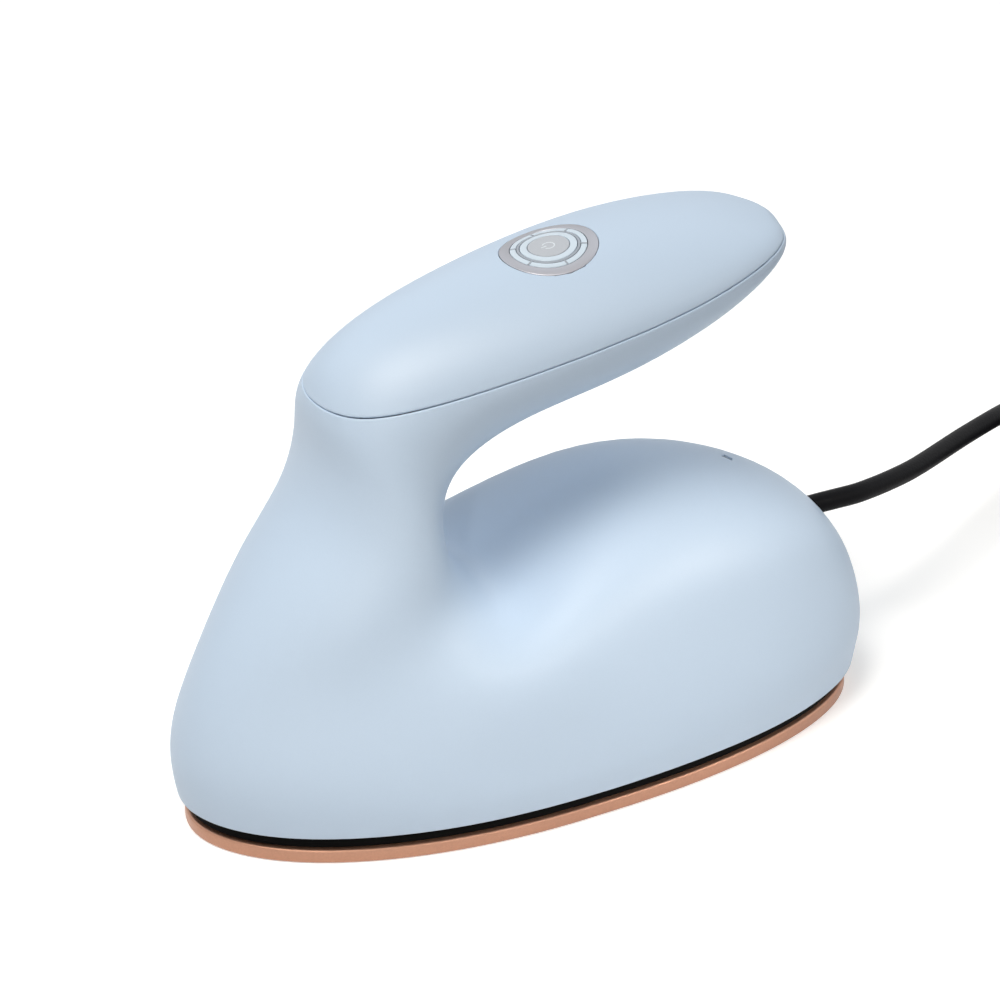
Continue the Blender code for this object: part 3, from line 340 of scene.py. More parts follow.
def skin_mesh(levels):
    """The whole outside as one open surface."""
    points, quads = cage()
    mesh = bpy.data.meshes.new("skin")
    mesh.from_pydata(through_points(points, quads), [], quads)
    rough = added("skin", mesh)
    soft = rough.modifiers.new("Smooth", 'SUBSURF')
    soft.levels = soft.render_levels = levels
    fine = plain_mesh(rough)
    bpy.data.objects.remove(rough)
    shape = bmesh.new()
    shape.from_mesh(fine)
    bmesh.ops.recalc_face_normals(shape, faces=shape.faces)
    offsets = {v: (v.co.x - TIP_X, v.co.y * TIP_ROUND, v.co.z - TIP_Z) for v in shape.verts}
    faired(shape, [v for v, offset in offsets.items() if hypot(*offset) < TIP_REACH])
    top = max(shape.verts, key=lambda v: v.co.z)
    shape.normal_update()
    if top.normal.z < 0:
        bmesh.ops.reverse_faces(shape, faces=shape.faces)
    shape.to_mesh(fine)
    shape.free()
    return fine


# Cuts through the skin, each a signed distance that is above zero where the skin stays

def above_seam(point):
    lean = hypot(1, SEAM_SLOPE)
    return (point.z - SEAM_Z - SEAM_SLOPE * point.x) / lean


def tree_of(skin):
    return BVHTree.FromPolygons([v.co for v in skin.vertices], [p.vertices for p in skin.polygons])


def axis_frame(skin, x, start, tilt=None):
    """A frame on the skin below a height: its Z runs out of the skin, or along a given tilt."""
    place, normal = tree_of(skin).ray_cast(Vector((x, 0, start)), Vector((0, 0, -1)))[:2]
    angle = atan2(normal.x, normal.z) if tilt is None else -tilt
    return Matrix.Translation(place) @ Matrix.Rotation(angle, 4, 'Y')


def outside_hole(place, radius, reach=0.03):
    """Distance outside a round hole along a frame's Z axis."""
    inverse = place.inverted()

    def value(point):
        local = inverse @ point
        return hypot(local.x, local.y) - radius if abs(local.z) < reach else 1.0
    return value


def split_along(shape, value):
    """Cuts edges into a mesh where a value of its points passes zero."""
    at = {v: value(v.co) for v in shape.verts}
    at = {v: 0.0 if abs(level) < ON_CUT else level for v, level in at.items()}
    on_cut = {v for v, level in at.items() if level == 0}
    bent = []
    for face in shape.faces:
        signs = [at[v] > 0 for v in face.verts if at[v] != 0]
        if sum(a != b for a, b in zip(signs, signs[1:] + signs[:1])) > 2:
            bent.append(face)
    bmesh.ops.triangulate(shape, faces=bent)
    for edge in [e for e in shape.edges if at[e.verts[0]] * at[e.verts[1]] < 0]:
        a, b = edge.verts
        start, low, high = a.co.copy(), 0.0, 1.0
        way = b.co - a.co
        for _ in range(20):
            middle = (low + high) / 2
            if value(start + way * middle) * at[a] > 0:
                low = middle
            else:
                high = middle
        on_cut.add(bmesh.utils.edge_split(edge, a, low)[1])
    for face in list(shape.faces):
        ends = [v for v in face.verts if v in on_cut]
        if len(ends) == 2 and not any(e.other_vert(ends[0]) is ends[1] for e in ends[0].link_edges):
            bmesh.utils.face_split(face, *ends)


def keep_where(shape, value, edge):
    """Trims a skin to where a value is above an edge's radius, with a close row beside it."""
    split_along(shape, lambda p: value(p) - edge)
    split_along(shape, lambda p: value(p) - edge - settings().shell.hold)
    gone = [f for f in shape.faces if value(f.calc_center_median()) < edge]
    bmesh.ops.delete(shape, geom=gone, context='FACES')


def walled(skin, cuts, wall):
    """A closed shell of the skin: trimmed by its cuts, given a wall, its edges rounded."""
    shape = bmesh.new()
    shape.from_mesh(skin)
    for value, edge in cuts:
        keep_where(shape, value, edge)
    shape.normal_update()
    outer, faces = list(shape.verts), list(shape.faces)
    normals = {v: sum((f.normal * f.calc_area() for f in v.link_faces), Vector()).normalized()
               for v in outer}
    rim = []
    for edge in shape.edges:
        if edge.is_boundary:
            loop = edge.link_loops[0]
            rim.append((loop.vert, loop.link_loop_next.vert))
    leaving = {}
    for a, b in rim:
        for v in (a, b):
            leaving[v] = leaving.get(v, Vector()) + (b.co - a.co).cross(normals[v])
    inner = {v: shape.verts.new(v.co - normals[v] * wall) for v in outer}
    for face in faces:
        shape.faces.new([inner[v] for v in reversed(face.verts)])
    rows, turn, least_slope = {}, quarter()[1:], 0.4
    for v, way in leaving.items():
        way = way.normalized()
        value, edge = min(cuts, key=lambda c: abs(c[0](v.co) - c[1]))
        slope = (value(v.co + way * edge) - value(v.co)) / edge
        out = way * edge / min(max(-slope, least_slope), 1.0)
        first = [v.co + out * sin(a) - normals[v] * edge * (1 - cos(a)) for a in turn]
        second = [v.co + out * sin(a) - normals[v] * (wall - edge * (1 - cos(a)))
                  for a in reversed(turn)]
        rows[v] = [v, *(shape.verts.new(p) for p in first + second), inner[v]]
    for a, b in rim:
        for k in range(len(rows[a]) - 1):
            shape.faces.new((rows[b][k], rows[a][k], rows[a][k + 1], rows[b][k + 1]))
    return shape


def patch(skin, place, reach):
    """A smooth height over a frame's X and Y, fitted to the skin round the frame."""
    tree, found, steps = tree_of(skin), [], 12
    down = place.to_3x3() @ Vector((0, 0, -1))
    for i in range(-steps, steps + 1):
        for j in range(-steps, steps + 1):
            x, y = reach * i / steps, reach * j / steps
            if hypot(x, y) <= reach:
                hit = tree.ray_cast(place @ Vector((x, y, reach)), down)[0]
                found.append((x, y, (place.inverted() @ hit).z))
    near = np.array(found)
    powers = [(i, j) for i in range(5) for j in range(0, 5 - i)]
    x, y = near[:, 0] / reach, near[:, 1] / reach
    share = np.linalg.lstsq(np.stack([x**i * y**j for i, j in powers], 1), near[:, 2], rcond=None)[0]

    def height(px, py):
        return float(sum(s * (px / reach)**i * (py / reach)**j for s, (i, j) in zip(share, powers)))
    return height


def inlay(place, height, profile, count, closed=True):
    """A ring or disc let into the skin: a profile of radius, depth and whether it follows."""
    rows = []
    for radius, depth, follows in profile:
        row = []
        for angle in around(count):
            x, y = radius * cos(angle), radius * sin(angle)
            row.append(place @ Vector((x, y, depth + (height(x, y) if follows else 0))))
        rows.append(row)
    return lofted(rows, closed)


def ring_profile(outer, inner, edge, depth, rise=0.0):
    """The profile of a ring with rounded top edges, its top lifted in the middle."""
    right = [(r, z, True) for r, z in rounded(outer, edge)]
    left = [(inner + outer - r, z, True) for r, z in reversed(rounded(outer, edge))]
    middle = ((inner + outer) / 2, rise, True)
    return [(outer, -depth, False), *right, middle, *left, (inner, -depth, False)]


def disc_profile(outer, edge, depth, dish=0.0):
    """The profile of a disc with a rounded top edge and a shallow dish."""
    right = [(r, z, True) for r, z in rounded(outer, edge)]
    inside = [((outer - edge) * s, -dish * (1 - s * s), True) for s in (0.85, 0.6, 0.35, 0.12)]
    return [(outer * 0.2, -depth, False), (outer, -depth, False), *right, *inside]


# Shader groups and finishes

def feed(tree, socket, value):
    """Links a socket to another one, or gives it a plain value."""
    if isinstance(value, bpy.types.NodeSocket):
        tree.links.new(value, socket)
    else:
        socket.default_value = value


def node(tree, kind, **values):
    """A node with its settings, in small letters, and its inputs, which begin with a capital."""
    made = tree.nodes.new(kind)
    for key, value in values.items():
        if key[0].islower():
            setattr(made, key, value)
        else:
            feed(tree, made.inputs[key.replace('_', ' ')], value)
    return made


def add_sockets(tree, way, **kinds):
    """Gives a node group its sockets by name, and returns their identifiers."""
    return [tree.interface.new_socket(name=label.replace('_', ' '), in_out=way,
                                      socket_type='NodeSocket' + kind).identifier
            for label, kind in kinds.items()]


def math_node(tree, operation, a, b):
    made = node(tree, 'ShaderNodeMath', operation=operation)
    feed(tree, made.inputs[0], a)
    feed(tree, made.inputs[1], b)
    return made.outputs[0]


def spread(tree, mask, low, high):
    """A mask from 0 to 1 mapped to a range given by sockets or numbers."""
    return node(tree, 'ShaderNodeMapRange', Value=mask, To_Min=low, To_Max=high).outputs[0]


def moulded_grain(tree, given):
    """Fine spark-eroded grain and slow waviness: relief, fine and slow texture, drift."""
    where = tree.nodes.new('ShaderNodeTexCoord').outputs['Object']
    grain = node(tree, 'ShaderNodeTexNoise', Vector=where, Scale=given['Scale'], Detail=2.0).outputs[0]
    slow = node(tree, 'ShaderNodeTexNoise', Vector=where, Scale=45.0, Detail=3.0).outputs[0]
    return 0.0002, grain, slow, math_node(tree, 'SUBTRACT', math_node(tree, 'ADD', slow, grain), 1.0)


def brushed_metal(tree, given):
    """Fine lines stretched along one direction: relief, fine and slow texture, drift."""
    lines = node(tree, 'ShaderNodeTexNoise', Vector=given['Lines'], Scale=1.0, Detail=4.0).outputs[0]
    return 0.0001, lines, lines, math_node(tree, 'SUBTRACT', lines, 0.5)


def shader_group(textures):
    """The group that turns a pair of textures into colour, roughness and normal."""
    tree = bpy.data.node_groups.new(textures.__name__, 'ShaderNodeTree')
    add_sockets(tree, 'INPUT', Base_Colour='Color', Scale='Float', Lines='Vector', Depth='Float',
                Gloss_Low='Float', Gloss_High='Float', Tone_Drift='Float')
    add_sockets(tree, 'OUTPUT', Colour='Color', Roughness='Float', Normal='Vector')
    given = tree.nodes.new('NodeGroupInput').outputs
    relief, fine, slow, drift = textures(tree, given)
    bump = node(tree, 'ShaderNodeBump', Distance=relief, Height=fine, Strength=given['Depth'])
    tone = math_node(tree, 'ADD', math_node(tree, 'MULTIPLY', drift, given['Tone Drift']), 1.0)
    shade = node(tree, 'ShaderNodeHueSaturation', Color=given['Base Colour'], Value=tone)
    node(tree, 'NodeGroupOutput', Colour=shade.outputs[0], Normal=bump.outputs[0],
         Roughness=spread(tree, slow, given['Gloss Low'], given['Gloss High']))
    return tree


def new_finish(name, textures, colour, gloss, depth, drift, metallic, grain=0, sheen=0.5):
    """A material with its surface from a shader group, and that group's node."""
    made = bpy.data.materials.new(name)
    made.use_nodes = True
    tree = made.node_tree
    surface = tree.nodes.new('ShaderNodeGroup')
    surface.node_tree = bpy.data.node_groups.get(textures.__name__) or shader_group(textures)
    for label, value in (("Base Colour", (*colour, 1)), ("Scale", grain), ("Depth", depth),
                         ("Gloss Low", gloss[0]), ("Gloss High", gloss[1]), ("Tone Drift", drift)):
        surface.inputs[label].default_value = value
    given = surface.outputs
    for label, value in (("Metallic", metallic), ("Specular IOR Level", sheen), ("Base Color", given[0]),
                         ("Roughness", given[1]), ("Normal", given[2])):
        feed(tree, tree.nodes["Principled BSDF"].inputs[label], value)
    return made, surface


def moulded(name, colour, gloss=(0.3, 0.4), grain=3000, depth=0.08, drift=0.04, metallic=0.0,
            sheen=0.5):
    """A moulded plastic, rubber or coating; sheen is the level of its clear reflection."""
    return new_finish(name, moulded_grain, colour, gloss, depth, drift, metallic, grain, sheen)[0]


def brushed(name, colour, gloss=(0.25, 0.4), stretch=(300, 4000, 4000), depth=0.05, drift=0.1,
            turn=None):
    """A brushed or drawn metal, its lines along X, or round a frame's Z axis."""
    made, surface = new_finish(name, brushed_metal, colour, gloss, depth, drift, metallic=1.0)
    tree = made.node_tree
    where = tree.nodes.new('ShaderNodeTexCoord').outputs['Object']
    if turn is not None:
        local = node(tree, 'ShaderNodeMapping', vector_type='TEXTURE', Vector=where,
                     Location=turn.translation, Rotation=turn.to_euler())
        flat = node(tree, 'ShaderNodeVectorMath', operation='MULTIPLY', Vector=local.outputs[0])
        flat.inputs[1].default_value = (1, 1, 0)
        reach = node(tree, 'ShaderNodeVectorMath', operation='LENGTH', Vector=flat.outputs[0])
        where = node(tree, 'ShaderNodeCombineXYZ', Y=reach.outputs['Value']).outputs[0]
    scale = node(tree, 'ShaderNodeMapping', Vector=where, Scale=stretch)
    tree.links.new(scale.outputs[0], surface.inputs["Lines"])
    return made


# Sizes and colours that a user would change

def amount(name, about, default, **kind):
    return FloatProperty(name=name, description=about, default=default, **kind)


def metres(name, about, default, precision=4):
    return amount(name, about, default, unit='LENGTH', precision=precision)


def turned(name, about, degrees):
    return amount(name, about, radians(degrees), subtype='ANGLE')


def whole(name, about, default, low, high):
    return IntProperty(name=name, description=about, default=default, min=low, max=high)


def tinted(about, default):
    return FloatVectorProperty(name="Colour", description=about, default=default, subtype='COLOR')


class ShellSettings(bpy.types.PropertyGroup):
    """Housing and handle cover."""
    levels: whole("Smoothness", "Subdivision of the skin", 3, 2, 4)
    wall: metres("Wall", "Thickness of the mouldings", 0.0024)
    edge: metres("Edge", "Radius of the mouldings' edges", 0.00028, 5)
    foot_edge: metres("Foot edge", "Radius at the housing's foot", 0.0005)
    hold: metres("Close row", "Row that keeps an edge crisp", 0.00015, 5)
    seam_gap: metres("Seam", "Gap between housing and cover", 0.00016, 5)
    colour: tinted("Colour of the mouldings", (0.485, 0.60, 0.745))


class ControlSettings(bpy.types.PropertyGroup):
    """Rings, button and power symbol in the handle's crown."""
    well: metres("Well", "Radius of the opening", 0.0091)
    trim: metres("Silver ring", "Its outer radius", 0.0090)
    light: metres("Pale ring", "Its outer radius", 0.0070)
    bezel: metres("Grey ring", "Its outer radius", 0.0058)
    cap: metres("Button", "Its radius", 0.0052)
    mark: metres("Button face", "Radius of its grey face", 0.0038)
    gap: metres("Gap", "Gap between rings", 0.0001, 5)
    edge: metres("Edge", "Radius of the rings' edges", 0.00012, 5)
    symbol: metres("Symbol", "Radius of the power symbol", 0.0011)
    ticks: whole("Ticks", "Marks on the pale ring", 6, 2, 12)
    sides: whole("Sides", "Points round each ring", 128, 32, 256)


class BaseSettings(bpy.types.PropertyGroup):
    """Soleplate and the black frame over it."""
    sole_top: metres("Soleplate", "Its thickness", 0.0027)
    sole_in: metres("Inset", "Soleplate's inset from the outline", 0.0022)
    sole_edge: metres("Edge", "Radius of its edges", 0.0005)
    flange_in: metres("Frame inset", "Frame's inset from the outline", 0.0028)
    points: whole("Points", "Points round the outline", 256, 64, 512)
    colour: tinted("Colour of the soleplate", (0.45, 0.235, 0.155))


class CordSettings(bpy.types.PropertyGroup):
    """Cord, coil and plug."""
    radius: metres("Radius", "Cord's radius", 0.00195, 5)
    loops: whole("Loops", "Loops of the coil", 12, 4, 20)
    layers: whole("Layers", "Layers of the coil", 4, 1, 6)
    start: turned("Start", "Where the coil starts", 128)
    outer: metres("Coil", "Radius of the widest loop", 0.0260)
    pitch: metres("Pitch", "From one loop to the next", 0.0046)
    low: metres("Lowest loop", "Height of its centre", 0.0029)


class StageSettings(bpy.types.PropertyGroup):
    """Camera, floor and light."""
    azimuth: turned("Azimuth", "Camera's turn round the iron", -28.441)
    elevation: turned("Elevation", "Camera's height angle", 28.073)
    distance: metres("Distance", "Camera to the point it looks at", 0.90135, 5)
    target: FloatVectorProperty(name="Target", description="Point the camera looks at",
                                default=(-0.004218, 0, 0.052522), subtype='XYZ', precision=6)
    lens: amount("Lens", "Focal length in millimetres", 177.66)
    key: amount("Key", "Power of the softbox over the nose", 9.3)
    rim: amount("Rim", "Power of the softboxes behind and beside", 4.1)
    spot: amount("Spots", "Power of the soft spots on the body", 17.0)
    sky: amount("Sky", "Strength of the world's light", 0.06)


class IronSettings(bpy.types.PropertyGroup):
    """All settings of the iron."""
    shell: PointerProperty(type=ShellSettings)
    control: PointerProperty(type=ControlSettings)
    base: PointerProperty(type=BaseSettings)
    cord: PointerProperty(type=CordSettings)
    stage: PointerProperty(type=StageSettings)


# Camera, floor and light

def add_camera(stage):
    a, e = stage.azimuth, stage.elevation
    back = Vector((sin(a) * cos(e), -cos(a) * cos(e), sin(e)))
    right = Vector((cos(a), sin(a), 0))
    turn = Matrix((right, back.cross(right), back)).transposed().to_4x4()
    data = bpy.data.cameras.new("photo_camera")
    data.sensor_width = 36
    data.lens = stage.lens
    data.clip_start, data.clip_end = 0.05, 20
    camera = added("photo_camera", data)
    camera.matrix_world = Matrix.Translation(Vector(stage.target) + back * stage.distance) @ turn
    bpy.context.scene.camera = camera


def add_lamp(name, kind, place, target, power, tint, **values):
    """A lamp that faces a target, with the values of its own kind."""
    data = bpy.data.lights.new(name, kind)
    data.energy, data.color = power, tint
    for key, value in values.items():
        setattr(data, key, value)
    lamp = added(name, data)
    lamp.location = place
    lamp.rotation_euler = (Vector(target) - Vector(place)).to_track_quat('-Z', 'Y').to_euler()


def add_softboxes(stage):
    """The key over the nose and the cooler softboxes behind and beside."""
    for name, place, size, power, tint in (
            ("key", (-0.38, -0.25, 1.0), 0.45, stage.key, WARM),
            ("rear_left", (-0.5, 0.6, 0.8), 0.6, stage.rim * 0.41, COOL),
            ("rear", (0, 0.8, 0.6), 0.6, stage.rim * 0.15, COOL),
            ("right", (0.9, -0.2, 0.5), 0.6, stage.rim * 0.22, COOL),
            ("rear_right", (0.5, 0.5, 0.8), 0.6, stage.rim * 0.22, COOL)):
        add_lamp(name, 'AREA', place, (0, 0, 0.05), power, tint, shape='RECTANGLE', size=size,
                 size_y=size)


def add_spots(stage):
    """Warm spots on the body, each fading to nothing at its cone: place, target, cone, share."""
    for name, place, target, cone, share in (
            ("flank_spot", (0.12, -0.70, 0.50), (0, -0.04, 0.015), 0.2275, 0.24),
            ("right_spot", (0.5, -0.5, 0.4), (0.03, -0.02, 0.03), 0.1807, 0.47),
            ("nose_spot", (-0.45, -0.6, 0.35), (-0.045, -0.01, 0.035), 0.1797, 0.24),
            ("low_spot", (0.05, -0.8, 0.12), (0, -0.03, 0.015), 0.1796, 0.07)):
        add_lamp(name, 'SPOT', place, target, stage.spot * share, WARM, spot_size=cone, spot_blend=1.0,
                 shadow_soft_size=0.03)


def seen_directly(tree):
    """1 for rays that see the backdrop: straight, mirrored or through glass."""
    path = tree.nodes.new('ShaderNodeLightPath')
    seen = math_node(tree, 'MAXIMUM', path.outputs['Is Camera Ray'], path.outputs['Is Glossy Ray'])
    return math_node(tree, 'MAXIMUM', seen, path.outputs['Is Transmission Ray'])


def white_world(strength):
    world = bpy.data.worlds.new("studio")
    bpy.context.scene.world = world
    world.use_nodes = True
    tree = world.node_tree
    sky = tree.nodes['Background']
    sky.inputs['Color'].default_value = (1, 1, 1, 1)
    tree.links.new(spread(tree, seen_directly(tree), strength, 1.0), sky.inputs['Strength'])


def white_floor(grey=0.82, glow=0.45):
    """A matt floor that also glows where it is seen directly."""
    made = bpy.data.materials.new("pale_floor")
    made.use_nodes = True
    tree = made.node_tree
    tree.nodes.remove(tree.nodes['Principled BSDF'])
    matt = node(tree, 'ShaderNodeBsdfDiffuse', Color=(grey, grey, grey, 1))
    shown = math_node(tree, 'MULTIPLY', seen_directly(tree), glow)
    lit = node(tree, 'ShaderNodeEmission', Strength=shown)
    both = tree.nodes.new('ShaderNodeAddShader')
    tree.links.new(matt.outputs[0], both.inputs[0])
    tree.links.new(lit.outputs[0], both.inputs[1])
    tree.links.new(both.outputs[0], tree.nodes['Material Output'].inputs['Surface'])
    return made


class IRON_OT_stage(bpy.types.Operator):
    """Set the camera at the photographed angle, with a pale floor and soft light"""
    bl_idname = "iron.stage"
    bl_label = "Stage"

    def execute(self, context):
        stage = settings().stage
        add_camera(stage)
        white_world(stage.sky)
        mesh = bpy.data.meshes.new("floor")
        shape = bmesh.new()
        bmesh.ops.create_circle(shape, cap_ends=True, segments=64, radius=6)
        shape.to_mesh(mesh)
        shape.free()
        floor = added("floor", mesh)
        floor.location.z = -0.0001
        dress(floor, white_floor())
        add_softboxes(stage)
        add_spots(stage)
        context.scene.view_settings.view_transform = 'Standard'
        return {'FINISHED'}


# Cord

def smooth_path(route, step):
    """Evenly spaced points on a smooth curve through a route's points."""
    route = [Vector(point) for point in route]
    reach = [0.0]
    for a, b in zip(route, route[1:]):
        reach.append(reach[-1] + (b - a).length)
    slopes = []
    for i in range(len(route)):
        a, b = max(i - 1, 0), min(i + 1, len(route) - 1)
        slopes.append((route[b] - route[a]) / (reach[b] - reach[a]))
    count, tiny = max(2, round(reach[-1] / step)), 0.00001
    points = []
    for k in range(count + 1):
        at = reach[-1] * k / count
        i = max(j for j in range(len(route) - 1) if reach[j] <= at + tiny)
        span = reach[i + 1] - reach[i]
        t = min((at - reach[i]) / span, 1.0)
        points.append(route[i] * (2 * t**3 - 3 * t**2 + 1) + slopes[i] * span * (t**3 - 2 * t**2 + t)
                      + route[i + 1] * (3 * t**2 - 2 * t**3) + slopes[i + 1] * span * (t**3 - t**2))
    return points


def coil_points(cord, per_loop=24):
    """Loops that spiral in and out in layers, climbing down where they turn."""
    turns = cord.loops + cord.start / (2 * pi)
    span = turns / cord.layers
    count = round(turns * per_loop)
    points = []
    for k in range(count + 1):
        turn = turns * k / count
        layer = min(int(turn / span), cord.layers - 1)
        part = turn - layer * span
        radius = cord.outer - cord.pitch * (part if layer % 2 == 0 else span - part)
        level = 0.0
        for change in range(1, cord.layers):
            share = min(max((turn - change * span) * 2 + 0.5, 0), 1)
            level += share * share * (3 - 2 * share)
        angle = cord.start - 2 * pi * turn
        points.append(Vector((COIL_CENTRE[0] + radius * cos(angle),
                              COIL_CENTRE[1] + radius * sin(angle),
                              cord.low + cord.pitch * (cord.layers - 1 - level))))
    return points


def cord_points(cord):
    """The cord's whole route, from inside the rear wall to the plug."""
    coil = coil_points(cord)
    heading = Vector((sin(cord.start), -cos(cord.start), 0))
    leaving = Vector((0, -1, 0))
    lead = coil[0] - heading * COIL_LEAD
    rise = Vector((0, 0, COIL_LEAD * 0.35))
    free = smooth_path([Vector((CORD_START, 0, CORD_Z)), *CORD_ROUTE,
                        lead - heading * COIL_LEAD * 2 + rise, lead], step=0.0045)
    after = coil[-1] + leaving * COIL_LEAD
    end = Vector((after.x, after.y - PLUG_GAP, PLUG_Z))
    tail = smooth_path([after, after + leaving * COIL_LEAD, end - leaving * COIL_LEAD, end], step=0.003)
    return [*free[:-1], lead, *coil, after, *tail[1:]]


def add_cord(cord):
    """The cord as one open curve through its route."""
    points = cord_points(cord)
    curve = bpy.data.curves.new("power_cord", 'CURVE')
    curve.dimensions = '3D'
    curve.bevel_depth = cord.radius
    curve.bevel_resolution = 4
    curve.resolution_u = 3
    curve.use_fill_caps = True
    line = curve.splines.new('BEZIER')
    line.bezier_points.add(len(points) - 1)
    for point, place in zip(line.bezier_points, points):
        point.co = place
        point.handle_left_type = point.handle_right_type = 'AUTO'
    piece = added("power_cord", curve)
    sheath = moulded("cord_sheath", (0.004, 0.004, 0.005), (0.42, 0.55), 1800, 0.25, 0.3, sheen=0.06)
    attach(dress(piece, sheath), IRON)
    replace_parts(piece, "cord", "cord_coil", "cord_tail")
    return piece, points


def add_plug():
    """The moulded plug: a tapered body with a ribbed neck."""
    low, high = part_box("plug_body")
    middle_x, middle_z = (low.x + high.x) / 2, (low.z + high.z) / 2
    half_x, half_z = (high.x - low.x) / 2, (high.z - low.z) / 2
    top, neck = high.y, 0.0090
    rows = []

    def put(y, reach_x, reach_z, power=2):
        rows.append([Vector((middle_x + reach_x * squared(cos(a), power), y,
                             middle_z + reach_z * squared(sin(a), power))) for a in around(64)])

    for share, radius in ((0, 0.0022), (0, 0.0029), (0.06, 0.0032)):
        put(top - share * neck, radius, radius)
    for rib in range(4):
        for step, radius in ((0, 0.0033), (0.03, 0.0027), (0.09, 0.0027), (0.12, 0.0034)):
            grown = radius + 0.00018 * rib
            put(top - neck * (0.14 + 0.2 * rib + step), grown, grown)
    start = top - neck
    for share, wide, thick, power in (
            (0.00, 0.36, 0.58, 2.2), (0.03, 0.44, 0.66, 2.4), (0.09, 0.60, 0.78, 2.6),
            (0.18, 0.75, 0.87, 2.9), (0.30, 0.85, 0.94, 3.2), (0.45, 0.92, 0.98, 3.6),
            (0.62, 0.97, 1.0, 4.0), (0.80, 0.985, 1.0, 4.4), (0.93, 0.985, 1.0, 4.6),
            (0.975, 0.975, 0.985, 4.6), (0.993, 0.95, 0.95, 4.4), (1.0, 0.90, 0.88, 4.2)):
        put(start - share * (start - low.y), half_x * wide, half_z * thick, power)
    plug = show("plug_moulding", lofted(rows, degrees=50))
    plastic = moulded("plug_plastic", (0.006, 0.006, 0.007), (0.4, 0.52), 2200, 0.3, 0.3, sheen=0.3)
    return stand_in(plug, "plug_body", plastic)


def add_blade(number, finish, bevel=0.0003, hole=0.0016, hole_in=0.0043, flat=1.35):
    """One flat blade with a rounded tip and its small hole."""
    low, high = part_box(f"plug_blade_{number}")
    wide, z, hole_y = (high.z - low.z) / 2, (low.z + high.z) / 2, low.y + hole_in
    shape = bmesh.new()

    def row(x, margin):
        edge = []
        for angle in around(32):
            c, s = cos(angle), sin(angle)
            reach = high.y - hole_y if c > 0 else hole_y - low.y - margin
            edge.append((x, hole_y + max(-1, min(1, c * flat)) * reach,
                         z + max(-1, min(1, s * flat)) * (wide - margin)))
        inside = [(x, hole_y + hole * cos(a), z + hole * sin(a)) for a in around(32)]
        return [shape.verts.new(p) for p in edge], [shape.verts.new(p) for p in inside]

    levels = [row(low.x, bevel), row(low.x + bevel, 0), row(high.x - bevel, 0), row(high.x, bevel)]
    for (a, c), (b, d) in zip(levels, levels[1:]):
        bridge(shape, a, b)
        bridge(shape, d, c)
    bridge(shape, levels[0][1], levels[0][0])
    bridge(shape, levels[-1][0], levels[-1][1])
    bmesh.ops.recalc_face_normals(shape, faces=shape.faces)
    return stand_in(show(f"blade_{number}", mesh_from(shape, 25)), f"plug_blade_{number}", finish)


def add_tie(cord, angle, name, thick=0.0006, wide=0.005, soft=0.00015, slack=0.00012):
    """A strap round the coil's bundle at one angle."""
    near, reach = [], 0.12
    for point in coil_points(cord, 96):
        x, y = point.x - COIL_CENTRE[0], point.y - COIL_CENTRE[1]
        swing = (atan2(y, x) - angle + pi) % (2 * pi) - pi
        if abs(swing) < reach:
            near.append((hypot(x, y), point.z))
    spare, corner = cord.radius + slack, cord.radius
    low, high = min(r for r, z in near) - spare, max(r for r, z in near) + spare
    foot, top = min(z for r, z in near) - spare, max(z for r, z in near) + spare
    out = Vector((cos(angle), sin(angle), 0))
    along = Vector((-out.y, out.x, 0))
    centre = Vector((*COIL_CENTRE, 0))

    def loop(grow, shift):
        row = []
        for step in range(48):
            a = 2 * pi * (step + 0.5) / 48
            c, s = cos(a), sin(a)
            r = (high - corner if c > 0 else low + corner) + (corner + grow) * c
            z = (top - corner if s > 0 else foot + corner) + (corner + grow) * s
            row.append(centre + out * r + Vector((0, 0, z)) + along * shift)
        return row

    half = wide / 2
    rows = [loop(grow, shift) for grow, shift in (
        (0, -half), (thick - soft, -half), (thick, soft - half), (thick, half - soft),
        (thick - soft, half), (0, half))]
    strap = show(name, lofted(rows, closed=True))
    return dress(strap, moulded(name, (0.010, 0.010, 0.011), (0.5, 0.65), 1500, 0.5, 0.3, sheen=0.3))


class IRON_OT_cord(bpy.types.Operator):
    """Lay the cord: free length, wound coil with its two straps, and the plug on its end"""
    bl_idname = "iron.cord"
    bl_label = "Cord and plug"

    def execute(self, context):
        cord = settings().cord
        piece, points = add_cord(cord)
        plug = add_plug()
        brass = brushed("plug_brass", (0.72, 0.55, 0.28), (0.22, 0.34), (4000, 300, 4000), 0.06)
        blades = [add_blade(number, brass) for number in (1, 2)]
        ties = [add_tie(cord, radians(angle), f"coil_tie_{n + 1}")
                for n, angle in enumerate(TIE_DEGREES)]
        length = sum((b - a).length for a, b in zip(points, points[1:]))
        return {'FINISHED'}


# Housing and cover

def frames_on(skin):
    """Where the control, the lamp and the cord sit."""
    control = axis_frame(skin, CONTROL_X, 2 * HEIGHT, CONTROL_TILT)
    lamp = axis_frame(skin, LAMP_X, 0.6 * HEIGHT)
    cord = Matrix.Translation((CORD_EXIT, 0, CORD_Z)) @ Matrix.Rotation(pi / 2, 4, 'Y')
    return control, lamp, cord


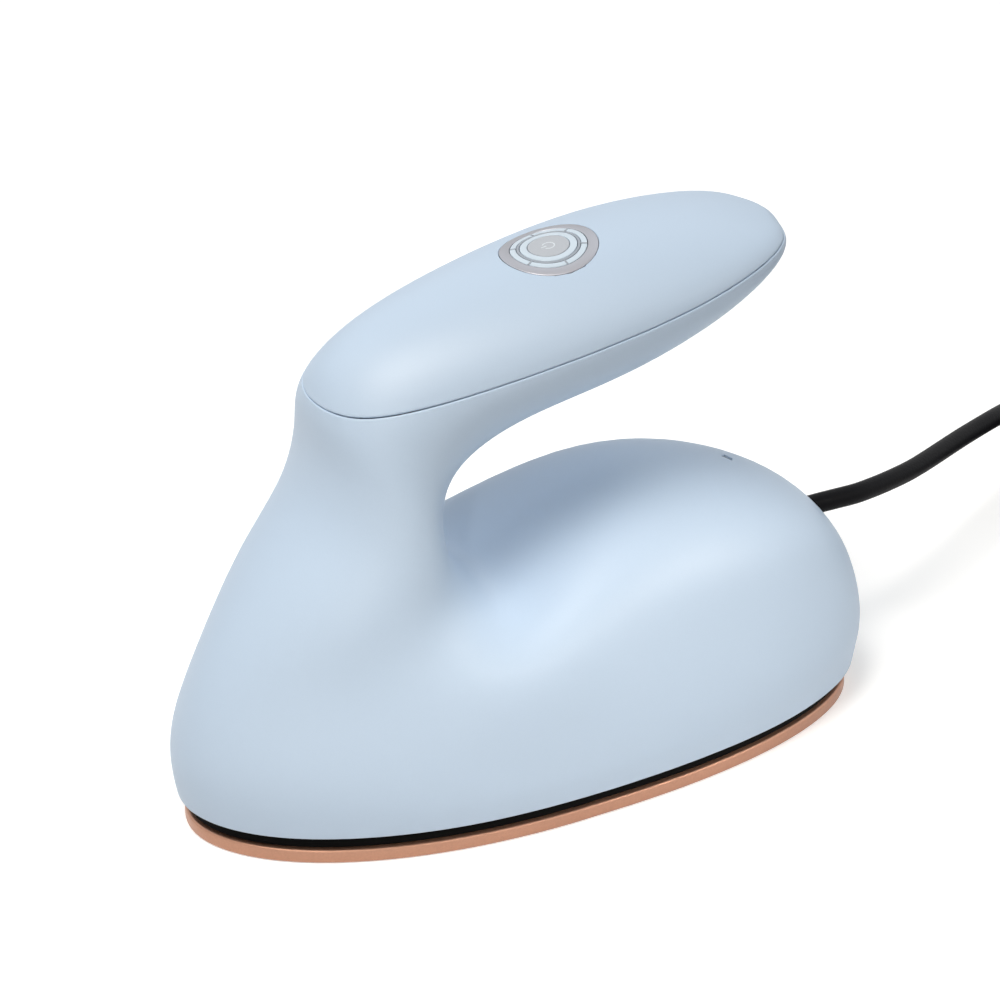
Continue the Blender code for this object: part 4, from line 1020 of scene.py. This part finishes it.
class IRON_OT_housing(bpy.types.Operator):
    """Build the housing and the handle's cover from one smooth skin"""
    bl_idname = "iron.housing"
    bl_label = "Housing and cover"

    def execute(self, context):
        shell = settings().shell
        skin = skin_mesh(shell.levels)
        control, lamp, cord = frames_on(skin)
        half = shell.seam_gap / 2
        below = walled(skin, [
            (lambda p: -above_seam(p) - half, shell.edge),
            (lambda p: p.z - FOOT_Z, shell.foot_edge),
            (outside_hole(lamp, LENS_HOLE, reach=0.01), HOLE_EDGE),
            (outside_hole(cord, BUSH_HOLE), BUSH_EDGE)], shell.wall)
        above = walled(skin, [
            (lambda p: above_seam(p) - half, shell.edge),
            (outside_hole(control, settings().control.well), HOLE_EDGE)], shell.wall)
        finish = moulded("pale_blue_plastic", tuple(shell.colour), (0.42, 0.50), 3200, 0.06, 0.03)
        stand_in(show("housing", mesh_from(below)), "main_housing", finish)
        stand_in(show("cover", mesh_from(above)), "handle_cover", finish)
        return {'FINISHED'}


# Control

def tick_tree():
    """Small bars standing on given points, turned to their facing and heading."""
    tree = bpy.data.node_groups.new("ring_ticks", 'GeometryNodeTree')
    size_id, finish_id = add_sockets(tree, 'INPUT', Geometry='Geometry', Size='Vector',
                                     Finish='Material')[1:]
    add_sockets(tree, 'OUTPUT', Geometry='Geometry')
    given = tree.nodes.new('NodeGroupInput').outputs
    bar = node(tree, 'GeometryNodeMeshCube', Size=given['Size'])
    turn = node(tree, 'GeometryNodeInputNamedAttribute', data_type='FLOAT_VECTOR', Name="turn")
    spin = node(tree, 'FunctionNodeEulerToRotation', Euler=turn.outputs['Attribute'])
    stand = node(tree, 'GeometryNodeInstanceOnPoints', Points=given['Geometry'],
                 Instance=bar.outputs['Mesh'], Rotation=spin.outputs[0])
    real = node(tree, 'GeometryNodeRealizeInstances', Geometry=stand.outputs[0])
    paint = node(tree, 'GeometryNodeSetMaterial', Geometry=real.outputs[0], Material=given['Finish'])
    node(tree, 'NodeGroupOutput', Geometry=paint.outputs[0])
    return tree, size_id, finish_id


def stand_bars(name, places, size, finish):
    """A piece made of equal bars, one on each placed frame."""
    mesh = bpy.data.meshes.new(name)
    mesh.from_pydata([place.translation for place in places], [], [])
    turns = mesh.attributes.new("turn", 'FLOAT_VECTOR', 'POINT')
    for row, place in zip(turns.data, places):
        row.vector = place.to_euler()
    piece = show(name, mesh)
    tree, size_id, finish_id = tick_tree()
    step = piece.modifiers.new("Bars", 'NODES')
    step.node_group = tree
    step[size_id] = size
    step[finish_id] = finish
    made = plain_mesh(piece)
    piece.modifiers.clear()
    piece.data = made


def on_crown(control, height, radius, angle):
    """A frame on the crown at a radius and an angle, its X along the radius."""
    x, y, step = radius * cos(angle), radius * sin(angle), 0.0005
    place = Vector((x, y, height(x, y)))
    out = Vector((x, y, 0)).normalized()

    def towards(way):
        ahead = place + way * step
        return (Vector((ahead.x, ahead.y, height(ahead.x, ahead.y))) - place).normalized()

    along, across = towards(out), towards(Vector((-out.y, out.x, 0)))
    up = along.cross(across).normalized()
    across = up.cross(along)
    turn = Matrix((along, across, up)).transposed().to_4x4()
    return control @ Matrix.Translation(place) @ turn


def raised_line(name, places):
    """A narrow pad laid along a row of frames, its top just above the button's face."""
    half, foot, top, soft = 0.00011, -0.00020, -0.00007, 0.00003
    corners = ((-half, foot), (half, foot), (half, top - soft), (half - soft, top), (soft - half, top),
               (-half, top - soft))
    rows = [[place @ Vector((x, 0, z)) for x, z in corners] for place in places]
    return show(name, lofted(rows), BUTTON)


def power_symbol(control, height, radius, finish):
    """The generic power symbol: an open ring, and a bar in its opening."""
    start, sweep, steps = 215, 290, 40
    angles = [radians(start + sweep * k / steps) for k in range(steps + 1)]
    dress(raised_line("power_ring", [on_crown(control, height, radius, a) for a in angles]), finish)
    turn = Matrix.Rotation(-pi / 2, 4, 'Z')
    bar = [on_crown(control, height, radius * share, pi) @ turn for share in (0.35, 0.7, 1.05, 1.35)]
    dress(raised_line("power_bar", bar), finish)


class IRON_OT_control(bpy.types.Operator):
    """Set the rings, the ticks and the push button with its symbol in the handle's crown"""
    bl_idname = "iron.control"
    bl_label = "Control"

    def execute(self, context):
        sizes = settings().control
        skin = skin_mesh(settings().shell.levels)
        control = frames_on(skin)[0]
        height = patch(skin, control, reach=0.0125)

        def inlaid(name, profile, body, node_name, finish, closed=True):
            mesh = inlay(control, height, profile, sizes.sides, closed)
            stand_in(show(name, mesh, body), node_name, finish)

        silver = brushed("satin_silver", (0.330, 0.330, 0.355), (0.36, 0.48), (300, 9000, 1), 0.05, 0.06,
                         control)
        pale = moulded("pale_lens", (0.56, 0.66, 0.76), (0.22, 0.3), 3000, 0.03, 0.03)
        grey = moulded("grey_trim", (0.30, 0.34, 0.40), (0.3, 0.4), 3000, 0.06, 0.05)
        face = moulded("grey_face", (0.43, 0.46, 0.51), (0.36, 0.46), 3000, 0.1, 0.06)
        edge, deep = sizes.edge, 0.0042
        for name, outer, inner, rise, finish, node_name in (
                ("silver_ring", sizes.trim, sizes.light, 0.00006, silver, "trim_ring"),
                ("pale_ring", sizes.light, sizes.bezel, 0.0, pale, "light_ring"),
                ("grey_ring", sizes.bezel, sizes.cap, 0.0, grey, "bezel_ring")):
            profile = ring_profile(outer, inner + sizes.gap, edge, deep, rise)
            inlaid(name, profile, IRON, node_name, finish)
        cap = ring_profile(sizes.cap, sizes.mark + sizes.gap, edge, depth=0.0030)
        inlaid("cap", cap, BUTTON, "button_cap", pale)
        mark = disc_profile(sizes.mark, edge, depth=0.0009, dish=0.00012)
        inlaid("cap_face", mark, BUTTON, "button_mark", face, closed=False)
        middle = (sizes.light + sizes.bezel) / 2
        places = [on_crown(control, height, middle, 2 * pi * (k + 0.5) / sizes.ticks)
                  for k in range(sizes.ticks)]
        stand_bars("ring_ticks", places, (sizes.light - sizes.bezel, 0.00035, 0.0001), grey)
        bright = moulded("pale_mark", (0.68, 0.74, 0.80), (0.4, 0.5), 3000, 0.05, 0.04)
        power_symbol(control, height, sizes.symbol, bright)
        return {'FINISHED'}


# Soleplate and frame

def stacked(rows, count, closed=False):
    """A flat piece of the iron's outline, from rows of inset and height."""
    return lofted([[(*outline(a, inset), z) for a in around(count)] for inset, z in rows], closed)


class IRON_OT_base(bpy.types.Operator):
    """Build the soleplate and the black frame over it"""
    bl_idname = "iron.base"
    bl_label = "Soleplate and frame"

    def execute(self, context):
        base = settings().base
        edge, top, sole_in = base.sole_edge, base.sole_top, base.sole_in
        low = [(sole_in + edge * (1 - sin(a)), edge * (1 - cos(a))) for a in quarter()]
        high = [(sole_in + edge * (1 - cos(a)), top - edge + edge * sin(a)) for a in quarter()]
        copper = moulded("copper_coat", tuple(base.colour), (0.34, 0.46), 2600, 0.12, 0.22, metallic=0.6)
        stand_in(show("sole", stacked(low + high, base.points)), "soleplate", copper)
        gap, thick, soft = 0.0003, 0.0024, 0.0003
        rib_in, rib_inner, rib_top = 0.0042, 0.0066, 0.012
        foot, ledge = top + gap, top + gap + thick
        rows = [(base.flange_in + soft, foot), (base.flange_in, foot + soft),
                (base.flange_in, ledge - soft), (base.flange_in + soft, ledge),
                (rib_in, ledge), (rib_in, rib_top), (rib_inner, rib_top), (rib_inner, foot)]
        black = moulded("black_frame", (0.003, 0.003, 0.003), (0.5, 0.65), 2600, 0.2, 0.3, sheen=0.03)
        stand_in(show("frame", stacked(rows, base.points, closed=True)), "base_frame", black)
        return {'FINISHED'}


class IRON_OT_fittings(bpy.types.Operator):
    """Fit the lamp's lens and the bush round the cord"""
    bl_idname = "iron.fittings"
    bl_label = "Lens and bush"

    def execute(self, context):
        skin = skin_mesh(settings().shell.levels)
        lamp, cord = frames_on(skin)[1:]
        profile = [(r, z - LENS_DEEP if follows else z, follows)
                   for r, z, follows in disc_profile(LENS_RADIUS, edge=0.0003, depth=0.0020)]
        lens = show("lens", inlay(lamp, patch(skin, lamp, reach=0.006), profile, 48, closed=False))
        smoke = moulded("smoke_lens", (0.30, 0.37, 0.46), (0.2, 0.3), 3000, 0.02, 0.02)
        stand_in(lens, "indicator_lamp", smoke)
        profile = ring_profile(BUSH_OUTER, BUSH_INNER, edge=0.0001, depth=0.008)
        bush = show("bush", inlay(cord, patch(skin, cord, reach=0.008), profile, 64))
        rubber = moulded("bush_rubber", (0.004, 0.004, 0.005), (0.5, 0.6), 2400, 0.2, 0.2, sheen=0.2)
        stand_in(bush, "cord_bush", rubber)
        return {'FINISHED'}


# Parts inside by kind: their nodes, colour, gloss and depth of grain, or None for metals

INSIDE = {
    "steel": (("heater_clamp",), (0.55, 0.56, 0.57), (0.3, 0.42), None),
    "zinc": (("_screw_",), (0.62, 0.62, 0.64), (0.25, 0.4), None),
    "aluminium": (("heat_shield",), (0.72, 0.73, 0.74), (0.28, 0.38), None),
    "oxide": (("heating_element",), (0.24, 0.22, 0.21), (0.4, 0.6), None),
    "brass": (("temperature_sensor", "thermal_fuse"), (0.70, 0.54, 0.28), (0.25, 0.4), None),
    "wool": (("insulation_pad",), (0.78, 0.75, 0.68), (0.9, 1.0), 1.0),
    "dark": (("board_tray", "cord_clamp", "switch_plunger"), (0.05, 0.05, 0.055), (0.5, 0.6), 0.2),
    "black": (("power_module", "tact_switch", "cord_inner"), (0.02, 0.02, 0.022), (0.4, 0.55), 0.2),
    "green": (("control_board", "power_board"), (0.02, 0.16, 0.07), (0.3, 0.45), 0.1),
    "ivory": (("control_socket", "harness_socket", "terminal_block"),
              (0.75, 0.73, 0.64), (0.4, 0.5), 0.1),
    "blue": (("relay",), (0.04, 0.14, 0.42), (0.25, 0.35), 0.05),
    "navy": (("capacitor",), (0.03, 0.05, 0.14), (0.2, 0.3), 0.05),
    "red": (("neck_harness",), (0.50, 0.05, 0.04), (0.4, 0.5), 0.1),
    "white": (("button_carrier",), (0.72, 0.73, 0.74), (0.4, 0.5), 0.1),
    "clear": (("led_",), (0.85, 0.86, 0.80), (0.12, 0.2), 0.02),
}


def inside_finish(kind):
    """The finish of one kind of hidden part."""
    colour, gloss, depth = INSIDE[kind][1:]
    if depth is None:
        return brushed("inside_" + kind, colour, gloss)
    return moulded("inside_" + kind, colour, gloss, 2500, depth, 0.12)


class IRON_OT_inside(bpy.types.Operator):
    """Give every part inside the housing its finish"""
    bl_idname = "iron.inside"
    bl_label = "Parts inside"

    def execute(self, context):
        finishes = {kind: inside_finish(kind) for kind in INSIDE}
        for name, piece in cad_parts.items():
            if piece.hide_render:
                continue
            kinds = [kind for kind, row in INSIDE.items()
                     if any(part == name or (part[-1] == "_" and part in name) for part in row[0])]
            if not kinds:
                raise RuntimeError(f"{name} has no finish")
            dress(piece, finishes[kinds[0]])
        return {'FINISHED'}


class IRON_PT_panel(bpy.types.Panel):
    """Sidebar panel of the craft iron"""
    bl_idname = "IRON_PT_panel"
    bl_label = "Craft Iron"
    bl_space_type = 'VIEW_3D'
    bl_region_type = 'UI'
    bl_category = "Craft Iron"

    def draw(self, context):
        for step in STEPS:
            self.layout.operator(step.bl_idname)
        for group_name in ("shell", "control", "base", "cord", "stage"):
            part = getattr(context.scene.craft_iron, group_name)
            box = self.layout.box()
            box.label(text=group_name.title())
            for name in part.__annotations__:
                box.prop(part, name)


STEPS = (IRON_OT_stage, IRON_OT_cord, IRON_OT_housing, IRON_OT_control, IRON_OT_base, IRON_OT_fittings,
         IRON_OT_inside)
GROUPS = (ShellSettings, ControlSettings, BaseSettings, CordSettings, StageSettings, IronSettings)


def register():
    for kind in (*GROUPS, *STEPS, IRON_PT_panel):
        bpy.utils.register_class(kind)
    bpy.types.Scene.craft_iron = PointerProperty(type=IronSettings)


def unregister():
    del bpy.types.Scene.craft_iron
    for kind in reversed((*GROUPS, *STEPS, IRON_PT_panel)):
        bpy.utils.unregister_class(kind)


def main():
    register()
    bpy.ops.iron.stage()
    bpy.ops.iron.cord()
    bpy.ops.iron.housing()
    bpy.ops.iron.control()
    bpy.ops.iron.base()
    bpy.ops.iron.fittings()
    bpy.ops.iron.inside()


if __name__ == "__main__":
    main()
